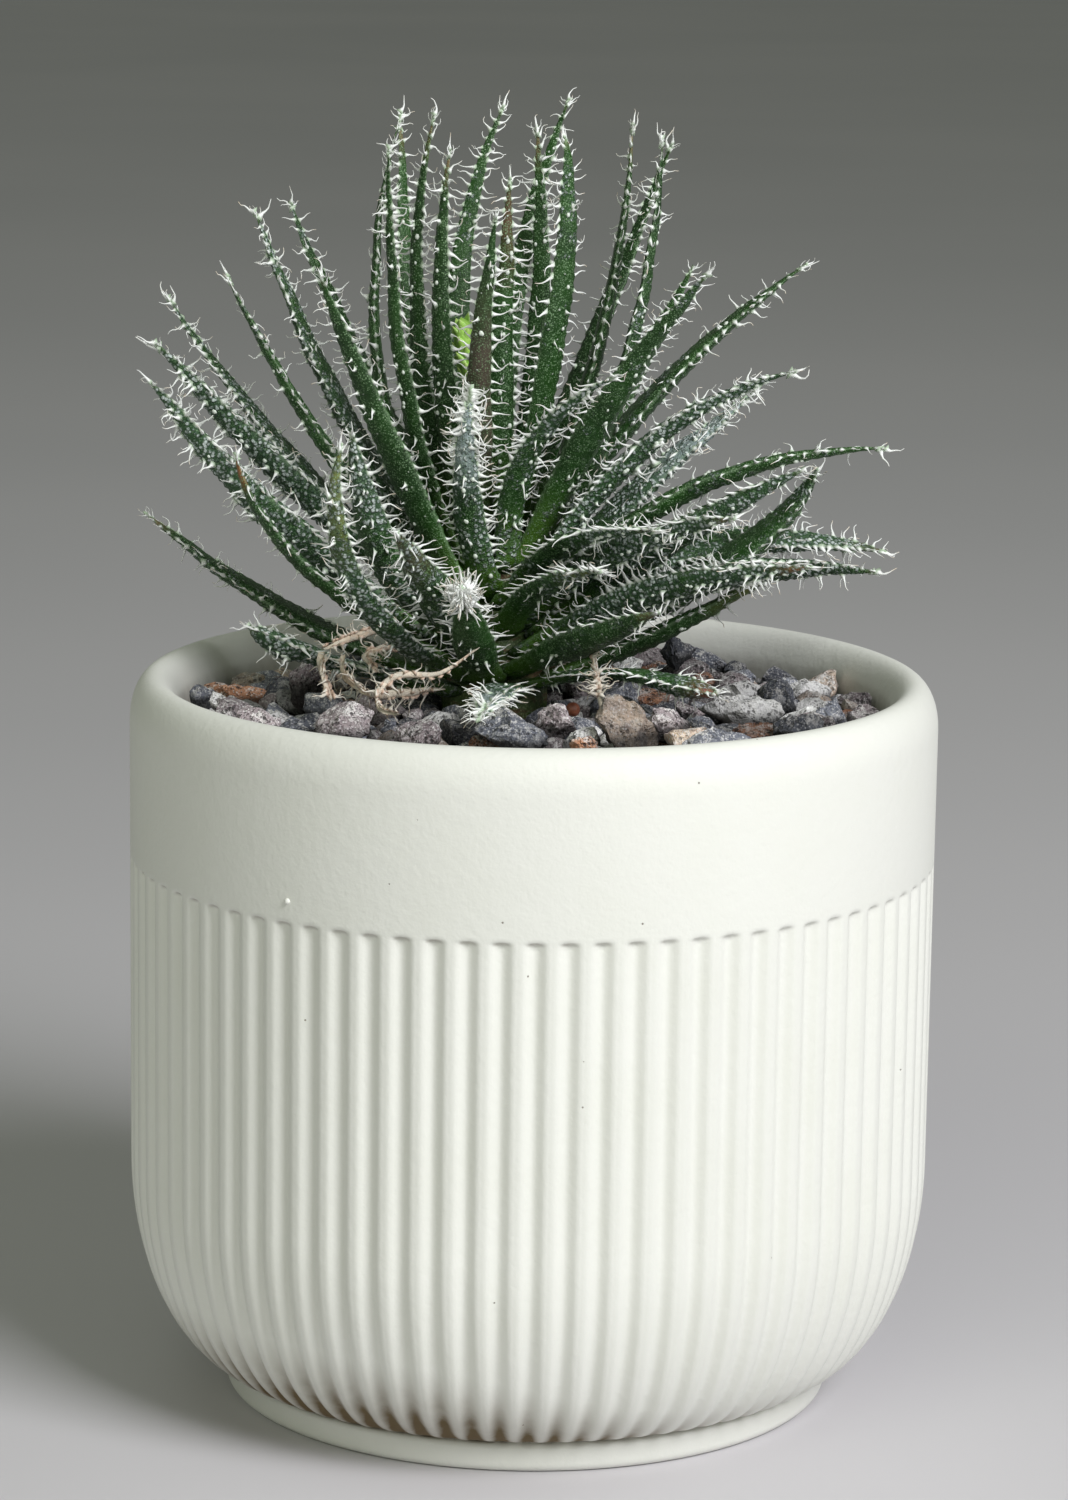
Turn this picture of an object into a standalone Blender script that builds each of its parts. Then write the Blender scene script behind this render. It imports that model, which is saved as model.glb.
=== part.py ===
"""Potted aloe: a spiny, many-leaved dwarf aloe in a round fluted pot with a gravel top dressing.

Units are metres, +Z is up.  The origin is the centre of the pot's foot, on the surface it stands on.
The rosette's own axis stands a little to the left of and behind the pot's axis.
"""
import math
from typing import NamedTuple

import bmesh
import bpy
from mathutils import Vector, noise

MM = 0.001
GAP = 0.3 * MM                     # clearance between pieces that touch

# Pot: a turned shell with vertical flutes below a smooth band.
POT_RADIUS = 40.1 * MM
POT_HEIGHT = 72.6 * MM
FLUTES = 80
FLUTE_DEPTH = 0.6 * MM
BAND_BOTTOM = 54.9 * MM            # the flutes end here, under the smooth band
FLUTE_RUNOUT = 0.6 * MM            # height of the step at the top of a flute
LIP_THICKNESS = 4.8 * MM
LIP_ROUND = 4.4 * MM               # half height of the lip's elliptical crest
WALL_INNER_RADIUS = POT_RADIUS - LIP_THICKNESS
BELLY_TOP = 24.0 * MM              # the wall is vertical above this height
BELLY_INSET = 10.8 * MM            # how far the belly draws in from the wall to the foot
FOOT_HEIGHT = 3.1 * MM
FOOT_RADIUS = 30.3 * MM
FOOT_WIDTH = 4.8 * MM
FOOT_RECESS = 1.2 * MM
FLOOR_TOP = 6.0 * MM
FLOOR_RADIUS = 25.0 * MM
DRAIN_RADIUS = 5.0 * MM

# Filling: potting mix below, gravel on top.
MIX_TOP = 61.0 * MM
BED_TOP = 69.2 * MM                # mean height of the gravel
BED_RINGS = 13
BED_STEPS = 66
LUMP_SIZE = 5.0 * MM
LUMP_HEIGHT = 2.0 * MM

# Rosette: where its axis stands, and the short core that carries the leaves.
ROSETTE_X = -4.0 * MM
ROSETTE_Y = 4.0 * MM
CORE_FOOT = MIX_TOP + GAP
LEAF_STANDOFF = 0.8 * MM          # from the core to the middle of a leaf's base
CORE_BOTTOM = 71.2 * MM            # height of the lowest leaf base
CORE_TOP = 87.0 * MM               # height of the highest leaf base
CORE_RADIUS = 5.4 * MM
CORE_TIP_RADIUS = 1.0 * MM
BASE_SPACING = 2.9 * MM            # leaf bases keep this distance on the core
DRY_LEAF_BASE = 71.3 * MM          # height at which a dried leaf's loose base lies
DRY_STANDOFF = 2.6 * MM            # how far that base lies from the core
THICKNESS_RATIO = 0.44             # a leaf's thickness over its width

# Young flower bud: a thin stalk that widens into the bud.
BUD_FOOT_HEIGHT = 88.5 * MM
BUD_LEAN_X = -3.4 * MM             # how far the bud's top stands from the rosette's axis
BUD_LEAN_Y = -2.4 * MM
BUD_PROFILE = ((0.5, 0.0), (0.5, 11.4), (0.75, 13.4), (1.05, 16.0), (1.0, 18.0), (0.45, 19.4))

# A pellet of slow-release feed on the gravel: (x, y) place in millimetres.
PELLET_PLACE = (3.8, -6.4)
PELLET_RADIUS = 0.75 * MM
PELLET_SEAT = 4.0 * MM             # radius of the level spot that it lies on


class Leaf(NamedTuple):
    """How one leaf grows: angles in degrees, lengths in millimetres."""

    azimuth: float      # direction of the tip from the rosette's axis: 0 right, 90 back, 270 front
    reach: float        # distance of the tip from the rosette's axis
    height: float       # height of the tip above the pot's foot
    lean: float         # lean at the base, from upright
    sway: float         # how far the base heads away from the tip's azimuth
    bend: float         # where the bend sits, as a share of the straight line from base to tip
    width: float        # greatest width


LEAVES = (
    # Left side, from the gravel upwards.
    Leaf(172, 36, 87, 75, 0, 0.45, 3.9),
    Leaf(207, 27, 78.5, 78, 0, 0.50, 4.4),
    Leaf(200, 27, 95, 62, 0, 0.75, 3.6),
    Leaf(184, 34, 105, 48, 0, 0.50, 4.4),
    Leaf(193, 35, 102, 55, 0, 0.50, 4.6),
    Leaf(160, 36, 108, 51, 0, 0.50, 4.0),
    Leaf(188, 27, 112, 43, 0, 0.50, 4.2),
    Leaf(168, 25, 117.5, 38, 0, 0.45, 3.9),
    Leaf(135, 31, 117, 42, 0, 0.50, 3.8),
    Leaf(215, 21, 113, 31, 0, 0.50, 4.3),
    # Left front, curling upwards.
    Leaf(236, 26, 98, 68, 0, 0.85, 4.0),
    Leaf(226, 20, 98, 60, 0, 0.55, 4.0),
    Leaf(250, 27, 90, 62, 0, 0.50, 4.0),
    # Upright leaves of the middle, from left to right.
    Leaf(175, 10, 127, 33, 0, 0.50, 3.2),
    Leaf(214, 13, 125, 28, 0, 0.45, 3.2),
    Leaf(125, 18, 127, 27, 12, 0.45, 3.2),
    Leaf(215, 8, 128, 25, 0, 0.50, 3.2),
    Leaf(232, 8, 125, 20, 0, 0.50, 3.2),
    Leaf(90, 24, 127, 20, 54, 0.50, 3.2),
    Leaf(269, 14, 119, 16, -15, 0.50, 3.2),
    Leaf(280, 6, 122, 9, 0, 0.50, 3.2),
    Leaf(72, 11, 126, 17, -25, 0.50, 3.2),
    Leaf(70, 20, 128, 16, 36, 0.50, 3.2),
    Leaf(318, 8, 126, 15, 8, 0.80, 3.9),
    Leaf(5, 13, 127, 24, 0, 0.50, 3.5),
    Leaf(350, 16, 126, 29, 0, 0.50, 3.7),
    Leaf(46, 25, 124, 30, 0, 0.50, 3.5),
    # Right side, from the top down to the gravel.
    Leaf(318, 27, 114, 27, 0, 0.50, 4.4),
    Leaf(8, 31, 113, 28, 0, 0.50, 3.9),
    Leaf(45, 28, 111, 36, 0, 0.50, 3.8),
    Leaf(340, 31, 104, 30, 0, 0.60, 4.0),
    Leaf(28, 30, 99, 46, 0, 0.50, 4.2),
    Leaf(350, 39, 96, 41, 0, 0.55, 4.2),
    Leaf(334, 33, 95, 50, 0, 0.50, 4.2),
    Leaf(2, 32, 93, 66, 0, 0.75, 4.2),
    Leaf(14, 41, 83, 50, 0, 0.50, 4.4),
    Leaf(339, 40, 85, 51, 0, 0.50, 4.6),
    Leaf(328, 36, 86, 56, 0, 0.50, 4.4),
    Leaf(350, 29, 84, 68, 0, 0.50, 4.2),
    # Front right.
    Leaf(318, 31, 91, 47, 0, 0.50, 4.0),
    Leaf(305, 20, 104, 22, -45, 0.55, 3.7),
    Leaf(304, 28, 90, 44, 0, 0.50, 3.8),
    Leaf(294, 25, 86, 48, 0, 0.50, 3.8),
    Leaf(306, 27, 82, 66, 0, 0.50, 4.0),
    Leaf(324, 27, 73, 72, 0, 0.50, 3.6),
    # Front.
    Leaf(262, 22, 84, 60, 0, 0.55, 4.2),
    Leaf(267, 26, 72, 74, 0, 0.50, 4.4),
    Leaf(258, 12, 102, 32, -22, 0.50, 3.6),
    # Back.
    Leaf(124, 33, 92, 62, 0, 0.50, 4.4),
    Leaf(101, 32, 85, 66, 0, 0.50, 4.4),
    Leaf(76, 31, 94, 58, 0, 0.50, 4.4),
    Leaf(54, 34, 84, 68, 0, 0.50, 4.4),
)

# Leaves whose base sits on the core as if they had this azimuth and lean, by the leaf's number.
SEATS = {2: (208, 77), 5: (193, 61), 20: (266, 16), 46: (264, 72)}
# Old leaves that have dried and lie curled on the gravel.
DRY_LEAVES = (
    Leaf(232, 17, 71.5, 87, 0, 0.50, 1.8),
    Leaf(186, 19, 72.2, 88, 0, 0.50, 1.8),
)
LEAF_STATIONS = (0.0, 0.09, 0.2, 0.34, 0.48, 0.62, 0.75, 0.87, 0.95)
LEAF_SECTION = ((-1.0, 0.05), (-0.5, 0.35), (0.5, 0.35), (1.0, 0.05), (0.45, -0.6), (-0.45, -0.6))


def clear_scene():
    """Removes every object of the start-up scene."""
    for thing in list(bpy.data.objects):
        bpy.data.objects.remove(thing, do_unlink=True)


def material(name, colour, roughness, metallic=0.0):
    """A Principled material of one plain colour."""
    made = bpy.data.materials.new(name)
    made.use_nodes = True
    shader = made.node_tree.nodes["Principled BSDF"]
    shader.inputs["Base Color"].default_value = (*colour, 1.0)
    shader.inputs["Roughness"].default_value = roughness
    shader.inputs["Metallic"].default_value = metallic
    return made


def add_object(name, bm, finish, smooth_angle=35.0):
    """Makes one object of a closed bmesh, with its faces pointing out."""
    bmesh.ops.remove_doubles(bm, verts=bm.verts, dist=0.001 * MM)
    bmesh.ops.recalc_face_normals(bm, faces=bm.faces)
    mesh = bpy.data.meshes.new(name)
    bm.to_mesh(mesh)
    bm.free()
    mesh.materials.append(finish)
    mesh.shade_smooth()
    mesh.set_sharp_from_angle(angle=math.radians(smooth_angle))
    made = bpy.data.objects.new(name, mesh)
    bpy.context.scene.collection.objects.link(made)
    return made


def turn_profile(points, steps):
    """Spins a closed or axis-to-axis profile of (radius, height) points round Z."""
    bm = bmesh.new()
    verts = [bm.verts.new((radius, 0.0, height)) for radius, height in points]
    for first, second in zip(verts, verts[1:]):
        bm.edges.new((first, second))
    bmesh.ops.spin(bm, geom=bm.verts[:] + bm.edges[:], cent=(0, 0, 0), axis=(0, 0, 1),
                   angle=math.tau, steps=steps, use_merge=True)
    bmesh.ops.remove_doubles(bm, verts=bm.verts, dist=0.001 * MM)
    return bm


def ellipse_points(centre, half_axes, start, end, count):
    """Points on an ellipse in the profile plane, from one angle to another, in degrees."""
    points = []
    for index in range(count + 1):
        angle = math.radians(start + (end - start) * index / count)
        points.append((centre[0] + half_axes[0] * math.cos(angle),
                       centre[1] + half_axes[1] * math.sin(angle)))
    return points


def flute_depth(height):
    """Depth of the flutes at a height: none on the band, and running out at the foot."""
    if height > BAND_BOTTOM - 0.5 * FLUTE_RUNOUT or height < FOOT_HEIGHT:
        return 0.0
    rise = (height - FOOT_HEIGHT) / (BELLY_TOP - FOOT_HEIGHT)
    return FLUTE_DEPTH * min(1.0, 3.0 * rise)


def build_pot(finish):
    """The ceramic pot: foot ring, fluted belly and wall, smooth band, round lip, drained floor."""
    belly_centre = (POT_RADIUS - BELLY_INSET, BELLY_TOP)
    belly_axes = (BELLY_INSET, BELLY_TOP - FOOT_HEIGHT + 0.1 * MM)
    lip_centre = (POT_RADIUS - 0.5 * LIP_THICKNESS, POT_HEIGHT - LIP_ROUND)
    floor_centre = (FLOOR_RADIUS, BELLY_TOP)
    floor_axes = (WALL_INNER_RADIUS - FLOOR_RADIUS, BELLY_TOP - FLOOR_TOP)
    profile = [(FOOT_RADIUS - 0.2 * MM, 0.0), (FOOT_RADIUS, 0.4 * MM)]
    profile += ellipse_points(belly_centre, belly_axes, -84.4, 0.0, 6)
    profile += [(POT_RADIUS, BAND_BOTTOM - FLUTE_RUNOUT), (POT_RADIUS, BAND_BOTTOM)]
    profile += ellipse_points(lip_centre, (0.5 * LIP_THICKNESS, LIP_ROUND), 0.0, 180.0, 6)
    profile += ellipse_points(floor_centre, floor_axes, 0.0, -90.0, 2)
    profile += [(DRAIN_RADIUS, FLOOR_TOP), (DRAIN_RADIUS, FOOT_RECESS)]
    profile += [(FOOT_RADIUS - FOOT_WIDTH - 0.6 * MM, FOOT_RECESS), (FOOT_RADIUS - FOOT_WIDTH, 0.0)]
    profile.append(profile[0])
    bm = turn_profile(profile, 2 * FLUTES)
    for vert in bm.verts:
        radius = math.hypot(vert.co.x, vert.co.y)
        step = round(math.atan2(vert.co.y, vert.co.x) * FLUTES / math.pi)
        if step % 2 and radius > FOOT_RADIUS and vert.co.z < BAND_BOTTOM:
            scale = 1.0 - flute_depth(vert.co.z) / radius
            vert.co.x *= scale
            vert.co.y *= scale
    return add_object("pot", bm, finish)


def build_potting_mix(finish):
    """The potting mix: it fills the pot from its floor up to the gravel."""
    floor_centre = (FLOOR_RADIUS - GAP, BELLY_TOP)
    floor_axes = (WALL_INNER_RADIUS - FLOOR_RADIUS - GAP, BELLY_TOP - FLOOR_TOP - 2 * GAP)
    profile = [(0.0, MIX_TOP), (WALL_INNER_RADIUS - 2 * GAP, MIX_TOP)]
    profile += ellipse_points(floor_centre, floor_axes, 0.0, -90.0, 2)
    profile.append((0.0, FLOOR_TOP + 2 * GAP))
    bm = turn_profile(profile, 48)
    return add_object("potting_mix", bm, finish)


def bed_height(x, y):
    """Height of the gravel's lumpy surface at a place on it."""
    place = Vector((x, y, 0.0)) / LUMP_SIZE
    nearest = noise.voronoi(place)[0][0]
    height = BED_TOP + LUMP_HEIGHT * (0.75 - nearest) + 0.6 * MM * noise.noise(place * 0.35)
    from_pellet = math.hypot(x - PELLET_PLACE[0] * MM, y - PELLET_PLACE[1] * MM)
    return min(height, BED_TOP) if from_pellet < PELLET_SEAT else height


def build_gravel_bed(finish):
    """The top dressing: one lumpy layer of gravel with a round pocket for the rosette's core."""
    outer = WALL_INNER_RADIUS - 1.5 * GAP
    pocket = CORE_RADIUS + 2 * GAP
    profile = [(pocket, MIX_TOP + GAP), (outer, MIX_TOP + GAP)]
    for ring in range(BED_RINGS + 1):
        profile.append((outer + (pocket - outer) * ring / BED_RINGS, BED_TOP))
    profile.append(profile[0])
    bm = turn_profile(profile, BED_STEPS)
    for vert in bm.verts:
        radius = math.hypot(vert.co.x, vert.co.y)
        share = (outer - radius) / (outer - pocket)
        vert.co.x += ROSETTE_X * share
        vert.co.y += ROSETTE_Y * share
        if vert.co.z > MIX_TOP + 2 * GAP:
            vert.co.z = bed_height(vert.co.x, vert.co.y)
    return add_object("gravel_bed", bm, finish, smooth_angle=20.0)


def core_radius(height):
    """Radius of the rosette's core at a height."""
    share = (height - CORE_BOTTOM) / (CORE_TOP - CORE_BOTTOM)
    share = min(1.0, max(0.0, share))
    return CORE_TIP_RADIUS + (CORE_RADIUS - CORE_TIP_RADIUS) * math.sqrt(1.0 - share)


def build_stem(finish):
    """The short stem: a blunt core from the potting mix up to the youngest leaves."""
    profile = [(0.0, CORE_TOP)]
    for share in (1.0, 0.92, 0.8, 0.6, 0.4, 0.2, 0.0):
        height = CORE_BOTTOM + (CORE_TOP - CORE_BOTTOM) * share
        profile.append((core_radius(height) - GAP, height - GAP))
    profile += [(CORE_RADIUS - GAP, CORE_FOOT), (0.0, CORE_FOOT)]
    bm = turn_profile(profile, 24)
    bmesh.ops.translate(bm, verts=bm.verts, vec=(ROSETTE_X, ROSETTE_Y, 0.0))
    return add_object("stem", bm, finish)


def leaf_bases():
    """Places of the leaf bases on the core: steeper leaves sit higher, and neighbours keep apart."""
    seats = [SEATS.get(number, (leaf.azimuth, leaf.lean)) for number, leaf in enumerate(LEAVES, 1)]
    order = sorted(range(len(LEAVES)), key=lambda index: -seats[index][1])
    places = {}
    for rank, index in enumerate(order):
        height = CORE_BOTTOM + (CORE_TOP - CORE_BOTTOM) * (rank + 0.5) / len(LEAVES)
        places[index] = [math.radians(seats[index][0]), height]
    for _ in range(120):
        for first in order:
            for second in order:
                if first == second:
                    continue
                here, there = places[first], places[second]
                radius = 0.5 * (core_radius(here[1]) + core_radius(there[1])) + 1.0 * MM
                turn = (there[0] - here[0] + math.pi) % math.tau - math.pi
                across, along = turn * radius, there[1] - here[1]
                distance = math.hypot(across, along)
                if distance >= BASE_SPACING:
                    continue
                push = 0.12 * (BASE_SPACING - distance) / max(distance, 0.1 * MM)
                here[0] -= push * across / radius
                here[1] -= 0.6 * push * along
        for index in order:
            places[index][1] = min(CORE_TOP, max(CORE_BOTTOM, places[index][1]))
    return [tuple(places[index]) for index in range(len(LEAVES))]


def leaf_centreline(leaf, base, standoff=LEAF_STANDOFF):
    """The three control points of a leaf's centreline, from its base on the core to its tip."""
    turn, rise = base
    radius = core_radius(rise) + standoff
    start = Vector((ROSETTE_X + radius * math.cos(turn), ROSETTE_Y + radius * math.sin(turn), rise))
    azimuth = math.radians(leaf.azimuth)
    tip = Vector((ROSETTE_X + leaf.reach * MM * math.cos(azimuth),
                  ROSETTE_Y + leaf.reach * MM * math.sin(azimuth), leaf.height * MM))
    lean = math.radians(leaf.lean)
    heading = math.radians(leaf.azimuth + leaf.sway)
    direction = Vector((math.sin(lean) * math.cos(heading), math.sin(lean) * math.sin(heading),
                        math.cos(lean)))
    return start, start + direction * leaf.bend * (tip - start).length, tip


def along_curve(points, share):
    """Place and heading on a quadratic curve through its control points."""
    start, middle, end = points
    rest = 1.0 - share
    place = start * rest * rest + middle * 2.0 * share * rest + end * share * share
    heading = (middle - start) * rest + (end - middle) * share
    return place, heading.normalized()


def leaf_width(share):
    """Width along a leaf, as a share of its greatest: narrower at the base, then a long taper."""
    swell = 0.55 + 0.45 * min(1.0, share / 0.3)
    return swell * (1.0 - share ** 2.2) ** 0.85


def build_leaf(name, leaf, base, finish, standoff=LEAF_STANDOFF):
    """One leaf: a keeled, six-sided section drawn along a bent centreline to a sharp tip."""
    points = leaf_centreline(leaf, base, standoff)
    angle = math.radians(leaf.azimuth)
    side = Vector((-math.sin(angle), math.cos(angle), 0.0))
    bm = bmesh.new()
    face = None
    for share in LEAF_STATIONS:
        place, heading = along_curve(points, share)
        across = (side - heading * side.dot(heading)).normalized()
        upper = heading.cross(across)
        half = 0.5 * leaf.width * MM * leaf_width(share)
        ring = [place + across * (half * u) + upper * (2.0 * half * THICKNESS_RATIO * v)
                for u, v in LEAF_SECTION]
        if face is None:
            face = bm.faces.new([bm.verts.new(point) for point in ring])
            continue
        face = bmesh.ops.extrude_discrete_faces(bm, faces=[face])["faces"][0]
        for vert, point in zip(face.verts, ring):
            vert.co = point
    bmesh.ops.pointmerge(bm, verts=bmesh.ops.extrude_discrete_faces(bm, faces=[face])["faces"][0].verts,
                         merge_co=points[2])
    bmesh.ops.holes_fill(bm, edges=bm.edges, sides=0)
    return add_object(name, bm, finish)


def build_flower_bud(finish):
    """The young flower bud on its stalk, leaning out of the middle of the rosette."""
    top = BUD_PROFILE[-1][1] * MM
    profile = [(0.0, BUD_FOOT_HEIGHT)]
    profile += [(radius * MM, BUD_FOOT_HEIGHT + rise * MM) for radius, rise in BUD_PROFILE]
    profile.append((0.0, BUD_FOOT_HEIGHT + top + 0.4 * MM))
    bm = turn_profile(profile, 10)
    for vert in bm.verts:
        share = (vert.co.z - BUD_FOOT_HEIGHT) / top
        vert.co.x += ROSETTE_X + BUD_LEAN_X * share
        vert.co.y += ROSETTE_Y + BUD_LEAN_Y * share
    return add_object("flower_bud", bm, finish)


def build_feed_pellet(finish):
    """A small round pellet of slow-release feed that lies on the gravel."""
    bm = bmesh.new()
    bmesh.ops.create_icosphere(bm, subdivisions=2, radius=PELLET_RADIUS)
    place = Vector((PELLET_PLACE[0] * MM, PELLET_PLACE[1] * MM, BED_TOP + GAP + PELLET_RADIUS))
    bmesh.ops.translate(bm, verts=bm.verts, vec=place)
    return add_object("feed_pellet", bm, finish)


def main():
    """Builds every piece."""
    clear_scene()
    glaze = material("matte_glaze", (0.78, 0.78, 0.70), 0.55)
    soil = material("potting_mix", (0.05, 0.035, 0.025), 0.95)
    gravel = material("lava_gravel", (0.16, 0.14, 0.15), 0.9)
    green = material("leaf_green", (0.06, 0.12, 0.05), 0.5)
    pale_green = material("stem_green", (0.22, 0.30, 0.10), 0.55)
    bud_green = material("bud_green", (0.35, 0.50, 0.10), 0.5)
    straw = material("dry_leaf", (0.42, 0.30, 0.20), 0.9)
    rust = material("feed_pellet", (0.22, 0.06, 0.03), 0.6)
    build_pot(glaze)
    build_potting_mix(soil)
    build_gravel_bed(gravel)
    build_stem(pale_green)
    bases = leaf_bases()
    for number, (leaf, base) in enumerate(zip(LEAVES, bases), start=1):
        build_leaf(f"leaf_{number:02d}", leaf, base, green)
    for number, leaf in enumerate(DRY_LEAVES, start=1):
        base = (math.radians(leaf.azimuth), DRY_LEAF_BASE)
        build_leaf(f"dry_leaf_{number:02d}", leaf, base, straw, DRY_STANDOFF)
    build_flower_bud(bud_green)
    build_feed_pellet(rust)


main()
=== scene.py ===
"""Looks of the potted aloe: a spiny rosette in gravel, in a round pot with a fluted matte glaze.

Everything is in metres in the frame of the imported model: +Z is up, and the origin is the middle of the
pot's foot.  Each leaf follows the section rings of its own solid.  The pot, the gravel, the stem, the
bud and the pellet are modelled again in full detail where their solids stand.
"""

import logging
import math
import random
from dataclasses import dataclass, field
from enum import Enum

import bmesh
import bpy
import numpy as np
from mathutils import Matrix, Vector, noise


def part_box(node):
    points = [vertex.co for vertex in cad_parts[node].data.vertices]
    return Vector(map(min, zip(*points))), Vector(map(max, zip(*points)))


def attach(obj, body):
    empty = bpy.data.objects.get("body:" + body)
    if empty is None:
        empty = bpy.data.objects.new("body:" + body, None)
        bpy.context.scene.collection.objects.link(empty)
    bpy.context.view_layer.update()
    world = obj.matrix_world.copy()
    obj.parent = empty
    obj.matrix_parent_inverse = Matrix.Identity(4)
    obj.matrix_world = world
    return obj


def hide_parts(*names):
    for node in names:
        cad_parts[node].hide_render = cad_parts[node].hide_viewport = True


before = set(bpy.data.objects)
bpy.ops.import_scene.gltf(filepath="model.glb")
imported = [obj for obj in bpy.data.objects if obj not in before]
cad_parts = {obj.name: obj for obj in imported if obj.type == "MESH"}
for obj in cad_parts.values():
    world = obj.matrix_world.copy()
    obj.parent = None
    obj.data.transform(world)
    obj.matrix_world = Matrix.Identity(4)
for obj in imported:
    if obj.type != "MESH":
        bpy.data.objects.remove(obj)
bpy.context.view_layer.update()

LOG = logging.getLogger("potted_aloe")
MM = 0.001
ROOT = "root"
NOISE_SEED = 7
UP = Vector((0.0, 0.0, 1.0))
FRONT = Vector((0.0, -1.0, 0.0))
WELD = 0.002 * MM
GOLDEN_TURN = math.pi * (3.0 - math.sqrt(5.0))
Colour = tuple[float, float, float]
Profile = list[tuple[float, float]]
BMesh = bmesh.types.BMesh


def held(value: float, low: float = 0.0, high: float = 1.0) -> float:
    """The value, held between two limits."""
    return min(high, max(low, value))


def circle(steps: int) -> list[tuple[float, float]]:
    """The cosine and sine of evenly spaced angles all round."""
    return [(math.cos(math.tau * step / steps), math.sin(math.tau * step / steps)) for step in range(steps)]


# ---- Shader building ----
class Signal:
    """What a shader node gives out; arithmetic on it lays more nodes."""

    def __init__(self, bench: "NodeBench", socket: bpy.types.NodeSocket) -> None:
        """Keeps the bench and the output socket."""
        self.bench = bench
        self.socket = socket

    def __add__(self, other: "Signal | float") -> "Signal":
        """The sum."""
        return self.bench.math("ADD", self, other)

    def __mul__(self, other: "Signal | float") -> "Signal":
        """The product."""
        return self.bench.math("MULTIPLY", self, other)

    def __sub__(self, other: "Signal | float") -> "Signal":
        """The difference."""
        return self.bench.math("SUBTRACT", self, other)

    def __rsub__(self, other: float) -> "Signal":
        """What this leaves of a number."""
        return self.bench.math("SUBTRACT", other, self)

    def __truediv__(self, other: "Signal | float") -> "Signal":
        """The quotient."""
        return self.bench.math("DIVIDE", self, other)

    def most(self, other: "Signal | float") -> "Signal":
        """The larger of the two."""
        return self.bench.math("MAXIMUM", self, other)

    def ramp(self, low: float, high: float) -> "Signal":
        """A share with smooth ends.

        Args:
            low: Where it is 0.
            high: Where it is 1, which may be under low.

        Returns:
            The share.
        """
        ends = {"From Min": low, "From Max": high}
        if high < low:
            ends = {"From Min": high, "From Max": low, "To Min": 1.0, "To Max": 0.0}
        return self.bench.out("MapRange", {"Value": self, **ends}, interpolation_type="SMOOTHSTEP")

    def vector(self, operation: str, other: object = None, output: int | str = 0) -> "Signal":
        """One step of vector arithmetic."""
        inputs = {0: self} if other is None else {0: self, 1: other}
        return self.bench.out("VectorMath", inputs, output, operation=operation)


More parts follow.
